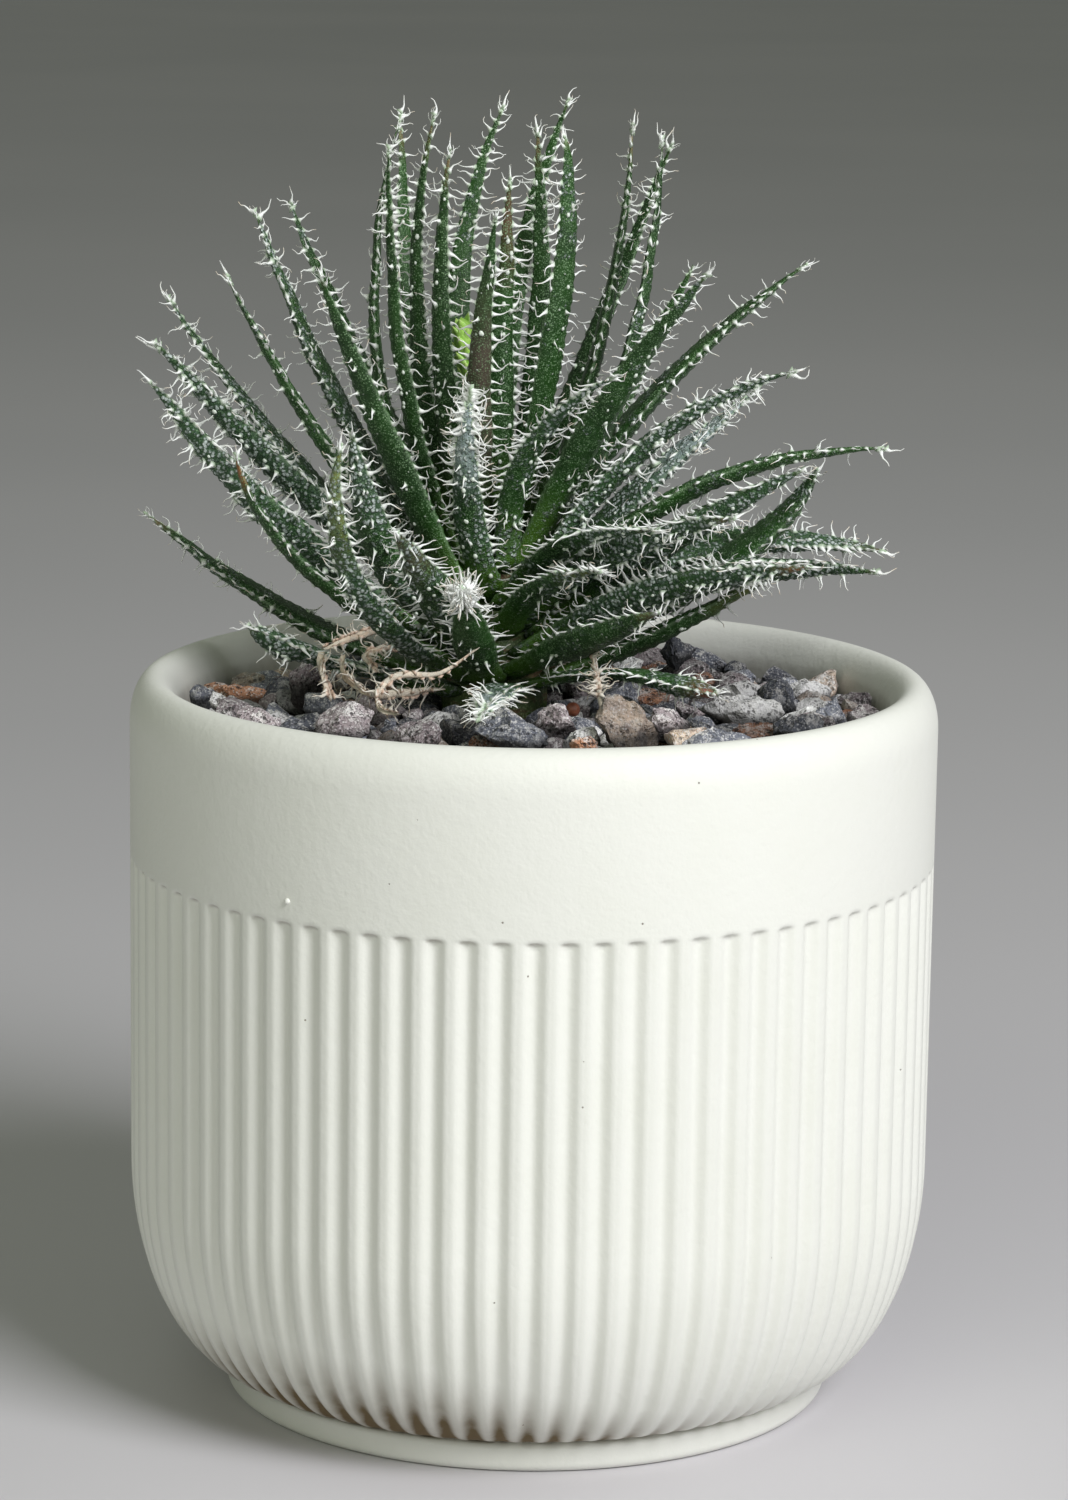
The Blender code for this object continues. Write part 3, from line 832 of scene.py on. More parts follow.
# ---- The pot ----
@dataclass
class FlutedPot:
    """The glazed pot: foot ring, fluted belly and wall, smooth band and rounded lip."""

    flutes: int = 80
    steps_per_flute: int = 12
    flute_depth: float = 0.60 * MM
    flute_width: float = 2.35 * MM
    flute_power: float = 1.6
    flute_fade: float = 2.2 * MM
    flute_turn: float = math.radians(-89.4)
    band_bottom: float = 54.9 * MM
    cap_height: float = 0.50 * MM
    belly_top: float = 24.0 * MM
    belly_inset: float = 10.8 * MM
    foot_height: float = 3.1 * MM
    foot_radius: float = 30.3 * MM
    foot_width: float = 4.8 * MM
    foot_recess: float = 1.2 * MM
    lip_thickness: float = 4.8 * MM
    lip_round: float = 4.4 * MM
    floor_top: float = 6.0 * MM
    floor_radius: float = 25.0 * MM
    drain_radius: float = 5.0 * MM
    drain_round: float = 0.5 * MM
    pimple_turn: float = math.radians(-124.6)
    pimple_height: float = 56.8 * MM
    pimple_radius: float = 0.30 * MM
    radius: float = field(init=False)
    height: float = field(init=False)

    def __post_init__(self) -> None:
        """Reads the pot's overall size from its solid."""
        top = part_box("pot")[1]
        self.radius, self.height = top.x, top.z

    def outline(self) -> Profile:
        """The pot's section, from the bottom of the foot up the outside and down the inside.

        Returns:
            The section's points, as radius and height.
        """
        radius, inner = self.radius, self.radius - self.lip_thickness
        foot, half_lip = self.foot_radius, 0.5 * self.lip_thickness
        wall = self.band_bottom - 1.5 * MM
        rim = foot - self.foot_width
        points = arc((foot - 0.9 * MM, 1.0 * MM), (1.05 * MM, 1.0 * MM), -90.0, 0.0, 6)
        points += arc((foot - 0.55 * MM, self.foot_height - 0.75 * MM), (0.7 * MM, 0.7 * MM), 0.0, 80.0, 5)
        points.append((foot - 0.65 * MM, self.foot_height + 0.05 * MM))
        points += arc((radius - self.belly_inset, self.belly_top),
                      (self.belly_inset, self.belly_top - self.foot_height), -84.5, 0.0, 26)
        points += [(radius, self.belly_top + (wall - self.belly_top) * share) for share in (0.25, 0.5, 0.75, 1.0)]
        caps = (2.0, 1.1, 0.8, 0.55, 0.3, 0.0)
        points += [(radius, self.band_bottom - self.cap_height * share) for share in caps]
        points += [(radius, self.band_bottom + 0.3 * MM), (radius, self.band_bottom + 6.0 * MM)]
        points += arc((radius - half_lip, self.height - self.lip_round), (half_lip, self.lip_round), 0.0, 180.0, 20)
        points += [(inner, 62.0 * MM), (inner, 44.0 * MM)]
        points += arc((self.floor_radius, self.belly_top),
                      (inner - self.floor_radius, self.belly_top - self.floor_top), 0.0, -90.0, 8)
        points += arc((self.drain_radius + self.drain_round, self.floor_top - self.drain_round),
                      (self.drain_round, self.drain_round), 90.0, 180.0, 3)
        points.append((self.drain_radius, self.foot_recess))
        points += [(rim - 0.8 * MM, self.foot_recess), (rim - 0.2 * MM, 0.5 * MM), (rim + 0.3 * MM, 0.0)]
        return points

    def cap_share(self, height: float) -> float:
        """How far down a flute's upper end a height is: 0 on the band, 1 under the end."""
        return held((self.band_bottom - height) / self.cap_height)

    def depth_share(self, height: float) -> float:
        """How much of their depth the flutes have at a height.

        Args:
            height: The height.

        Returns:
            The share.
        """
        cap = self.cap_share(height)
        foot = held((height - self.foot_height) / self.flute_fade)
        return cap * cap * (3.0 - 2.0 * cap) * math.sqrt(foot)

    def flute_share(self, turn: float, radius: float) -> float:
        """How deep in a flute a place is.

        Args:
            turn: The place's angle round the pot.
            radius: Its radius.

        Returns:
            The share: 1 in the middle of a flute, 0 on a rib.
        """
        pitch = math.tau / self.flutes
        offset = (turn - self.flute_turn) / pitch
        distance = (offset - round(offset)) * pitch * radius
        if abs(distance) >= 0.5 * self.flute_width:
            return 0.0
        return math.cos(math.pi * distance / self.flute_width) ** self.flute_power

    def is_outside(self, radius: float, height: float) -> bool:
        """Whether a place is on the pot's outer surface.

        Args:
            radius: The place's radius.
            height: Its height.

        Returns:
            True on the outer surface, False on the inner one, the floor and the foot.
        """
        if radius > self.radius - self.lip_thickness + 2.0 * MM:
            return True
        if height >= self.belly_top or radius <= self.foot_radius - 0.2 * MM:
            return False
        drop = (self.belly_top - height) / (self.belly_top - self.foot_height)
        belly = self.radius - self.belly_inset + self.belly_inset * math.sqrt(max(0.0, 1.0 - drop * drop))
        return radius > belly - 1.0 * MM

    def press_flutes(self) -> None:
        """Presses the flutes into the outside and marks how deep in one each vertex lies, for the glaze's grime and
        painted shade.
        """
        flute_mark = self.bm.verts.layers.float.new("flute")
        for vert in self.bm.verts:
            radius = math.hypot(vert.co.x, vert.co.y)
            share = self.depth_share(vert.co.z)
            if share <= 0.0 or not self.is_outside(radius, vert.co.z):
                continue
            flute = self.flute_share(math.atan2(vert.co.y, vert.co.x), radius)
            vert[flute_mark] = flute * self.cap_share(vert.co.z)
            scale = 1.0 - self.flute_depth * share * flute / radius
            vert.co.x *= scale
            vert.co.y *= scale

    def add_pimple(self) -> None:
        """Adds the one small drip of glaze on the band, just above the flutes."""
        made = bmesh.ops.create_icosphere(self.bm, subdivisions=3, radius=self.pimple_radius)["verts"]
        outward = Vector((math.cos(self.pimple_turn), math.sin(self.pimple_turn), 0.0))
        bmesh.ops.translate(self.bm, verts=made, vec=outward * self.radius + UP * self.pimple_height)

    def build(self) -> None:
        """Builds and dresses the pot."""
        self.bm = turned(self.outline(), self.flutes * self.steps_per_flute)
        self.press_flutes()
        self.add_pimple()
        make_piece("pot_glazed", self.bm, ("matte_glaze",), ("pot",))


# ---- Leaves ----
class Coat(Enum):
    """How scurfy a leaf is, and how thick and long its teeth grow, as scurf, density and length."""

    BARE = (0.16, 1.0, 1.95)
    DUSTED = (0.44, 1.0, 1.95)
    SCURFY = (0.68, 1.3, 2.1)
    CRUSTED = (0.92, 1.75, 2.3)


class Build(Enum):
    """How stout a leaf is: its girth, how long it keeps its width, its keel's depth and its roll in degrees."""

    SLENDER = (0.90, 1.0, 0.70, 0.0)
    USUAL = (1.0, 1.15, 0.72, 6.0)
    STOUT = (1.10, 1.35, 0.90, 22.0)
    BLUNT = (1.0, 5.0, 0.85, 0.0)


class Tip(Enum):
    """How a leaf has dried: its colour there, the share where that starts, is full, wanes and is gone."""

    FRESH = ((0.30, 0.34, 0.16), (0.96, 1.0, 2.0, 3.0))
    TAN = ((0.26, 0.18, 0.10), (0.88, 0.98, 2.0, 3.0))
    BROWN = ((0.11, 0.068, 0.036), (0.66, 0.88, 2.0, 3.0))
    ORANGE = ((0.34, 0.13, 0.05), (0.86, 0.95, 2.0, 3.0))
    YELLOW = ((0.17, 0.19, 0.05), (0.62, 0.85, 2.0, 3.0))
    RED = ((0.28, 0.10, 0.065), (0.82, 0.95, 2.0, 3.0))
    WITHERED = ((0.070, 0.056, 0.038), (0.10, 0.35, 0.62, 0.85))
    FROSTED = ((0.48, 0.56, 0.60), (0.50, 0.72, 2.0, 3.0))


COATS = {
    Coat.DUSTED: (1, 3, 7, 9, 19, 24, 26, 28, 29, 30, 33, 35, 43, 44, 49, 50, 51, 52),
    Coat.SCURFY: (6, 8, 11, 12, 13, 32, 34, 37, 41, 42, 45, 47, 48),
    Coat.CRUSTED: (2, 4, 5, 31, 36, 38, 40),
}
BUILDS = {
    Build.SLENDER: (3, 6, 7, 9, 11, *range(14, 28), 41, 47, 48),
    Build.STOUT: (4, 5, 12, 13, 34, 35, 36, 37, 38, 40, 44),
    Build.BLUNT: (2, 45),
}
TIPS = {
    Tip.TAN: (1, 16, 17, 18, 22, 25, 36, 40, 42, 44, 51),
    Tip.BROWN: (13, 21),
    Tip.ORANGE: (3, 38),
    Tip.YELLOW: (11, 39, 43),
    Tip.RED: (45,),
    Tip.WITHERED: (20,),
    Tip.FROSTED: (32, 47, 48),
}
# Leaves whose ends burst into threads: the share of the leaf where they start, their number and length.
CROWNS = {
    32: (0.50, 24, 2.1 * MM),
    43: (0.70, 18, 2.0 * MM),
    46: (0.87, 90, 2.5 * MM),
    47: (0.50, 44, 1.9 * MM),
    48: (0.55, 64, 2.1 * MM),
}


def chosen(groups: dict[Enum, tuple[int, ...]], number: int, usual: Enum) -> tuple:
    """The value of the option that a leaf's number is listed under, or else of the usual one."""
    return next((option for option, numbers in groups.items() if number in numbers), usual).value


@dataclass
class Station:
    """One place along a leaf: its middle, its three directions and its half width."""

    centre: Vector
    heading: Vector
    across: Vector
    upper: Vector
    half: float

    def point(self, out: float, rise: float) -> Vector:
        """A place in the leaf's section."""
        return self.centre + self.across * out + self.upper * rise

    def twist(self, angle: float) -> None:
        """Turns the section about the leaf's line.

        Args:
            angle: How far, in radians.
        """
        spin = Matrix.Rotation(angle, 3, self.heading)
        self.across = spin @ self.across
        self.upper = spin @ self.upper


class LeafSpine:
    """The line and the sections of a leaf, read from the rings of its solid."""

    def __init__(self, node: str, axis: Vector) -> None:
        """Reads the solid.

        Args:
            node: The leaf's node.
            axis: A point on the rosette's axis, near which the leaf starts.
        """
        rows, side = [], None
        for ring in self.rings(node, axis):
            first, second = max(((a, b) for a in ring for b in ring), key=lambda pair: (pair[0] - pair[1]).length)
            turn = (second - first).normalized()
            side = -turn if side is not None and turn.dot(side) < 0.0 else turn
            middle = 0.5 * (first + second)
            upper = middle - sum(ring, Vector()) / len(ring)
            upper = (upper - side * upper.dot(side)).normalized()
            rows.append([*middle, *side, *upper, 0.5 * (second - first).length])
        rows.append([*self.tip, *rows[-1][3:9], 0.0])
        steps = [(Vector(after[:3]) - Vector(before[:3])).length for before, after in zip(rows, rows[1:])]
        self.length = sum(steps)
        self.shares = np.concatenate(([0.0], np.cumsum(steps))) / self.length
        self.rows = np.array(rows)
        self.slopes = np.gradient(self.rows, self.shares, axis=0)

    def rings(self, node: str, axis: Vector) -> list[list[Vector]]:
        """Walks from the leaf's tip to its base, one ring of vertices at a time.

        Args:
            node: The leaf's node.
            axis: A point on the rosette's axis.

        Returns:
            The rings from the base to the tip, without the tip itself.
        """
        bm = bmesh.new()
        bm.from_mesh(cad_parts[node].data)
        bmesh.ops.remove_doubles(bm, verts=bm.verts, dist=WELD)
        foot = min(bm.verts, key=lambda vert: (vert.co - axis).xy.length)
        tip = max(bm.verts, key=lambda vert: (vert.co - foot.co).length)
        self.tip = tip.co.copy()
        seen, layer, found = {tip}, [tip], []
        while layer:
            around = [edge.other_vert(vert) for vert in layer for edge in vert.link_edges]
            layer = [vert for vert in dict.fromkeys(around) if vert not in seen]
            seen.update(layer)
            if len(layer) > 2:
                found.append([vert.co.copy() for vert in layer])
        bm.free()
        return found[::-1]

    def at(self, share: float) -> Station:
        """The leaf at a share of its length; under 0 it runs on straight, back into the stem.

        Args:
            share: The share, from 0 at the base to 1 at the tip.

        Returns:
            The station.
        """
        inner = held(share)
        index = int(min(len(self.shares) - 2, np.searchsorted(self.shares, inner, side="right") - 1))
        here, there = self.rows[index], self.rows[index + 1]
        leaving, arriving = self.slopes[index], self.slopes[index + 1]
        span = self.shares[index + 1] - self.shares[index]
        t = (inner - self.shares[index]) / span
        row = ((1 + 2 * t) * (1 - t) ** 2 * here + t * (1 - t) ** 2 * span * leaving
               + t * t * (3 - 2 * t) * there - t * t * (1 - t) * span * arriving)
        push = 6 * t * (1 - t) * (there - here) / span
        push = push + (1 - t) * (1 - 3 * t) * leaving + t * (3 * t - 2) * arriving
        heading = Vector(push[:3]).normalized()
        across = Vector(row[3:6])
        across = (across - heading * across.dot(heading)).normalized()
        upper = heading.cross(across)
        if upper.dot(Vector(row[6:9])) <= 0.0:
            upper = across.cross(heading)
        centre = Vector(row[:3]) + heading * (share - inner) * self.length
        return Station(centre, heading, across, upper, max(0.0, float(row[9])))


@dataclass
class ToothRack:
    """Ready-made teeth of unit length, from plain hooks to curled threads, and one low wart."""

    count: int = 28
    sides: int = 4
    segments: int = 6
    seed: int = 23
    hooks: list[bpy.types.Mesh] = field(default_factory=list)
    threads: list[bpy.types.Mesh] = field(default_factory=list)
    wart: bpy.types.Mesh | None = None

    def __post_init__(self) -> None:
        """Makes every shape."""
        for number in range(self.count):
            rng = random.Random(self.seed + number)
            self.hooks.append(self.tooth(rng, curl=rng.uniform(0.1, 1.0), wave=rng.uniform(0.2, 0.6)))
            self.threads.append(self.tooth(rng, curl=rng.uniform(0.4, 2.0), wave=rng.uniform(0.4, 1.0)))
        bm = plant_mesh()
        bmesh.ops.create_uvsphere(bm, u_segments=6, v_segments=4, radius=1.0)
        mark(bm, bm.verts, 0.13)
        self.wart = self.kept("wart_shape", bm)

    def kept(self, name: str, bm: BMesh) -> bpy.types.Mesh:
        """Keeps a bmesh as a ready-made shape whose faces take the second material.

        Args:
            name: The shape's name.
            bm: Its bmesh, which is freed.

        Returns:
            The shape.
        """
        for face in bm.faces:
            face.material_index = 1
        return mesh_of(bm, name)

    def tooth(self, rng: random.Random, curl: float, wave: float) -> bpy.types.Mesh:
        """Makes one tooth: a flat wide foot that thins to a bent thread along +Z.

        Args:
            rng: The source of its chances.
            curl: How far it bends in all, in radians.
            wave: How far it swings from side to side, in radians.

        Returns:
            The tooth.
        """
        late, phase, swing = rng.uniform(1.2, 3.0), rng.uniform(0.0, math.tau), rng.uniform(0.9, 1.5)
        lean, twist = rng.uniform(-0.35, 0.05), rng.uniform(-0.5, 0.5)
        place = Vector((0.0, 0.0, -0.05))
        rings = []
        for number in range(self.segments + 1):
            t = number / self.segments
            bend = lean + curl * t ** late + wave * (math.sin(phase + math.tau * swing * t) - math.sin(phase)) * t
            turn = twist * t * math.sin(phase + 3.0 * t)
            heading = Vector((math.sin(bend), math.sin(turn) * math.cos(bend), math.cos(bend) * math.cos(turn)))
            if number:
                place = place + heading * (1.0 / self.segments)
            right = Vector((math.cos(bend), 0.0, -math.sin(bend)))
            ahead = heading.cross(right).normalized()
            thick = (0.030 + 0.024 * (1.0 - t) + 0.085 * (1.0 - t) ** 5) * (1.0 - 0.35 * t * t)
            wide = thick * (1.0 + 0.9 * (1.0 - t) ** 4)
            rings.append(ellipse(place, right, ahead, wide, thick, self.sides))
        bm = plant_mesh()
        for number, ring in enumerate(loft(bm, rings, place + heading * 0.07)):
            mark(bm, ring, min(1.0, number / self.segments))
        bmesh.ops.recalc_face_normals(bm, faces=bm.faces)
        return self.kept("tooth_shape", bm)

    def clear(self) -> None:
        """Removes the ready-made shapes once every leaf has its copies."""
        for mesh in [*self.hooks, *self.threads, self.wart]:
            bpy.data.meshes.remove(mesh)


@dataclass
class AloeLeaf:
    """One leaf: a fleshy keeled blade with teeth on both margins and warts and small teeth on its faces."""

    number: int
    spine: LeafSpine
    rack: ToothRack
    sides: int = 14
    tooth_spacing: float = 1.18 * MM
    upper_bulge: float = 0.36
    clasp: float = 1.6 * MM
    unevenness: float = 0.22 * MM
    wart_size: tuple[float, float] = (0.13, 0.25)

    def __post_init__(self) -> None:
        """Settles the leaf's own build, coat, tip and chances."""
        self.bm = plant_mesh()
        self.rng = random.Random(1000 + self.number)
        self.girth, self.fullness, self.lower_bulge, roll = chosen(BUILDS, self.number, Build.USUAL)
        self.scurf, self.density, length = chosen(COATS, self.number, Coat.BARE)
        self.tip_colour, self.drying = chosen(TIPS, self.number, Tip.FRESH)
        self.tooth_length = length * MM
        middle = self.spine.at(0.5)
        opens = middle.heading.cross(middle.upper).dot(FRONT) * middle.upper.dot(FRONT)
        self.roll = math.copysign(math.radians(roll), opens)
        self.tone = self.rng.uniform(0.25, 0.85)
        self.crown, self.crown_teeth, self.crown_length = CROWNS.get(self.number, (0.97, 2, self.tooth_length))
        self.rows = max(12, round(self.spine.length * min(self.density, 1.45) / self.tooth_spacing))

    def half_width(self, share: float) -> float:
        """Half the blade's width: fuller than the plain solid, and widest where it clasps the stem.

        Args:
            share: The share of the leaf's length.

        Returns:
            The half width.
        """
        along = max(0.0, share)
        plain = self.spine.at(along ** self.fullness).half
        return plain * (1.05 * self.girth + 0.80 * math.exp(-along / 0.10))

    def station(self, share: float) -> Station:
        """The blade at a share of its length, with its own full width and slight unevenness.

        Args:
            share: The share of the leaf's length.

        Returns:
            The station.
        """
        station = self.spine.at(share)
        station.half = self.half_width(share)
        free = held(share * 3.0)
        station.twist(self.roll * free)
        wobble = noise.noise_vector(Vector((share * 9.0, self.number * 3.1, 0.0)))
        station.centre = station.centre + wobble * (self.unevenness * free)
        return station

    def section(self, share: float) -> list[Vector]:
        """The ring of points round the blade.

        Args:
            share: The share of the leaf's length.

        Returns:
            The points, from one margin over the upper face to the other and back under the keel.
        """
        station = self.station(share)
        beat = math.cos(math.tau * share * self.rows)
        half = station.half * (1.0 + 0.05 * beat)
        flat = 1.0 - 0.38 * math.exp(-max(0.0, share) / 0.11)
        points = []
        for out, rise in circle(self.sides):
            if rise >= 0.0:
                lift = self.upper_bulge * rise * (1.0 - 0.25 * math.exp(-(out / 0.5) ** 2))
            else:
                lift = self.lower_bulge * rise * (0.88 + 0.12 * math.exp(-(out / 0.35) ** 2))
            points.append(station.point(half * out, half * flat * lift))
        return points

    def blade(self) -> None:
        """Draws the blade and marks its vertices with how it grows there."""
        count = 2 * self.rows
        shares = [-self.clasp / self.spine.length, *(number / count for number in range(count))]
        made = loft(self.bm, [self.section(share) for share in shares], self.spine.tip)
        layers = self.bm.verts.layers.float_color
        growth, tip = layers["growth"], layers["tip"]
        for ring, share in zip(made, [*shares, 1.0]):
            dry = float(np.interp(share, self.drying, (0.0, 1.0, 1.0, 0.0)))
            burst = 3.0 * max(0.0, share - self.crown + 0.08) if self.number in CROWNS else 0.0
            for (out, _), vert in zip(circle(self.sides), ring):
                patchy = self.scurf * (0.62 + 0.25 * share + 0.45 * noise.noise(vert.co / (7.0 * MM))) + burst
                vert[growth] = (max(0.0, share), abs(out) ** 3, held(patchy), self.tone)
                vert[tip] = (*self.tip_colour, dry)

    def add_tooth(self, origin: Vector, outward: Vector, heading: Vector, length: float,
                  threads: bool, girth: float = 1.0) -> None:
        """Sets one tooth on the leaf.

        Args:
            origin: Where it stands.
            outward: Where it points at its foot.
            heading: The way of the leaf there.
            length: Its length.
            threads: Whether it is one of the curled ones.
            girth: How thick it is beside the usual ones.
        """
        rng = self.rng
        shape = rng.choice(self.rack.threads if threads else self.rack.hooks)
        toward = heading if rng.random() < 0.8 else -heading
        thin = length * girth * rng.uniform(0.72, 0.98)
        tan = rng.random() ** 2 * 0.75
        set_tooth(self.bm, shape, placed(origin, toward, outward, Vector((length * girth, thin, length))), 0.0, tan)

    def margin_teeth(self) -> None:
        """Sets the teeth along both margins, longer and more curled towards the tip."""
        rng = self.rng
        for row in range(1, self.rows + 1):
            for sign in (-1.0, 1.0):
                share = min(0.985, (row + rng.uniform(-0.14, 0.14)) / self.rows)
                if share < 0.08 or rng.random() < 0.03:
                    continue
                station = self.station(share)
                origin = station.point(sign * station.half * 0.93, 0.0)
                tilt = rng.gauss(0.12, 0.20) + 9.0 * max(0.0, share - 0.90)
                rise = rng.gauss(0.05, 0.30)
                outward = station.across * sign + station.heading * tilt + station.upper * rise
                grow = 0.55 + 0.45 * min(1.0, share / 0.35)
                grow *= 1.0 - 0.35 * max(0.0, share - 0.85) / 0.15
                length = self.tooth_length * grow * rng.uniform(0.78, 1.18)
                self.add_tooth(origin, outward, station.heading, length, rng.random() < 0.35 + 0.4 * share)

    def face_growth(self) -> None:
        """Scatters warts and small teeth over both faces, in loose rows along the leaf."""
        rng = self.rng
        for _ in range(int(self.rows * 1.25 * self.density)):
            share = 0.05 + 0.87 * rng.random() ** 0.8
            station = self.station(share)
            under = rng.random() < 0.62
            out = rng.choice((-0.55, 0.0, 0.0, 0.55)) if under else rng.choice((-0.45, 0.45, -0.6, 0.6))
            out += rng.uniform(-0.12, 0.12)
            bulge = -self.lower_bulge * 0.95 if under else self.upper_bulge * 0.85
            lift = math.sqrt(max(0.0, 1.0 - out * out)) * bulge
            origin = station.point(station.half * out, station.half * lift)
            outward = station.across * out + station.upper * (lift * 1.8)
            if rng.random() < 0.34 + 0.45 * share:
                outward = outward.normalized() + station.heading * rng.gauss(0.25, 0.2)
                length = self.tooth_length * rng.uniform(0.4, 0.95)
                self.add_tooth(origin, outward, station.heading, length, rng.random() < 0.5)
            else:
                size = rng.uniform(*self.wart_size) * MM
                scale = Vector((size * 1.3, size, size * 0.8))
                stamp(self.bm, self.rack.wart, placed(origin, station.heading, outward, scale))

    def tip_teeth(self) -> None:
        """Sets the long curled threads that crown the tip: two on most leaves, a whole burst on some."""
        rng = self.rng
        pair = self.crown_teeth == 2
        for number in range(self.crown_teeth):
            station = self.station(self.crown + (0.999 - self.crown) * (number + 0.5) / self.crown_teeth)
            turn = rng.uniform(0.0, math.tau)
            ahead = rng.uniform(1.0, 2.4) if pair else rng.uniform(-0.1, 0.9)
            if self.crown < 0.8:
                turn = math.pi * (number % 2) + rng.gauss(0.0, 0.45)
                ahead = rng.uniform(-0.1, 0.35)
            aside = station.across * math.cos(turn) + station.upper * math.sin(turn)
            outward = station.heading * ahead + aside
            length = self.crown_length * rng.uniform(0.8, 1.2)
            origin = station.centre + aside * (station.half * 0.35)
            self.add_tooth(origin, outward, station.heading, length, True, 1.0 if pair else 1.3)

    def build(self) -> None:
        """Builds and dresses the leaf."""
        self.blade()
        self.margin_teeth()
        self.face_growth()
        self.tip_teeth()
        name = f"leaf_{self.number:02d}"
        make_piece(f"aloe_{name}", self.bm, ("leaf_skin", "tooth_horn"), (name,))


@dataclass
class Scrap:
    """A withered bit of leaf: a papery strip along a line of stations, fringed with white threads."""

    name: str
    seed: int
    width: float
    sides: int = 10
    curl: float = 0.8
    thickness: float = 0.15
    end: float = 0.5 * MM
    threads: int = 1
    thread_length: float = 1.7 * MM
    turns: tuple[float, float] | None = None
    rows: int = 26
    solids: tuple[str, ...] = ()

    def __post_init__(self) -> None:
        """Settles the strip's chances, and how far it is twisted in all."""
        self.rng = random.Random(self.seed)
        self.twist = self.rng.uniform(*self.turns) if self.turns else 4.0

    def station(self, share: float) -> Station:
        """The strip at a share of its length; each kind of scrap has its own."""
        raise NotImplementedError

    def fringe(self, bm: BMesh, rack: ToothRack, line: list[Station]) -> None:
        """Sets white threads on both sides of the strip.

        Args:
            bm: The scrap's mesh.
            rack: The ready-made teeth.
            line: The strip's stations.
        """
        rng = self.rng
        for station in [station for station in line[2:] for _ in range(self.threads)]:
            sign = rng.choice((-1.0, 1.0))
            outward = (station.across * sign + station.heading * rng.gauss(0.1, 0.35)
                       + station.upper * rng.gauss(0.3, 0.5))
            size = self.thread_length * rng.uniform(0.55, 1.15)
            origin = station.point(sign * 0.35 * self.width, 0.0)
            scale = Vector((size, size * 1.1, size))
            matrix = placed(origin, station.heading * rng.choice((-1.0, 1.0)), outward, scale)
            tan = rng.random() * 0.9
            set_tooth(bm, rng.choice(rack.threads if rng.random() < 0.5 else rack.hooks), matrix, 1.0, tan)

    def build(self, rack: ToothRack) -> None:
        """Builds and dresses the scrap.

        Args:
            rack: The ready-made teeth.
        """
        bm = plant_mesh()
        line = [self.station(number / (self.rows - 1)) for number in range(self.rows)]
        rings = [[station.point(station.half * out, station.half * (self.curl * out * out + self.thickness * rise))
                  for out, rise in circle(self.sides)] for station in line]
        for ring in loft(bm, rings, line[-1].centre + line[-1].heading * self.end):
            mark(bm, ring, 0.5)
        self.fringe(bm, rack, line)
        make_piece(self.name, bm, ("dry_husk", "tooth_horn"), self.solids)


@dataclass
class DriedLeaf(Scrap):
    """A shrivelled leaf at the foot of the rosette, along the line of its solid."""

    width: float = 1.0 * MM
    curl: float = 0.75
    thickness: float = 0.16
    end: float = 0.4 * MM
    thread_length: float = 1.8 * MM
    turns: tuple[float, float] = (1.6, 3.0)
    rows: int = 23
    spine: LeafSpine | None = None

    def station(self, share: float) -> Station:
        """A place along the solid's own line, twisted and waved.

        Args:
            share: The share of the strip's length.

        Returns:
            The station.
        """
        station = self.spine.at(share * 0.98)
        wave = noise.noise_vector(Vector((share * 2.6, self.seed * 1.7, 0.0)))
        station.centre = station.centre + Vector((wave.x, wave.y, abs(wave.z))) * (1.1 * MM * share)
        station.half = 0.35 + 0.65 * math.sin(math.pi * min(1.0, 0.25 + 0.75 * (1.0 - share)))
        station.half *= 0.5 * self.width
        station.twist(self.twist * share)
        return station


@dataclass
class Tuft(Scrap):
    """A withered scrap that stands in the gravel, as a short twig with white threads all round."""

    width: float = 0.4 * MM
    sides: int = 8
    curl: float = 0.0
    thickness: float = 0.6
    end: float = 0.4 * MM
    threads: int = 8
    thread_length: float = 2.0 * MM
    foot: tuple[float, float, float] = (6.6, -9.5, 71.0)
    lean: tuple[float, float, float] = (-0.15, 0.0, 1.0)
    length: float = 5.4 * MM
    rows: int = 9

    def station(self, share: float) -> Station:
        """A place straight up the twig's lean, twisted and waved.

        Args:
            share: The share of the twig's length.

        Returns:
            The station.
        """
        foot, lean = Vector(self.foot) * MM, Vector(self.lean)
        across = lean.cross(Vector((1.0, 0.0, 0.0))).normalized()
        wave = noise.noise_vector(Vector((share * 2.2, self.seed * 2.3, 1.0)))
        centre = foot + lean * (self.length * share) + wave * (0.9 * MM * share)
        station = Station(centre, lean, across, lean.cross(across), 0.95 * self.width * (1.0 - 0.6 * share))
        station.twist(share * self.twist)
        return station


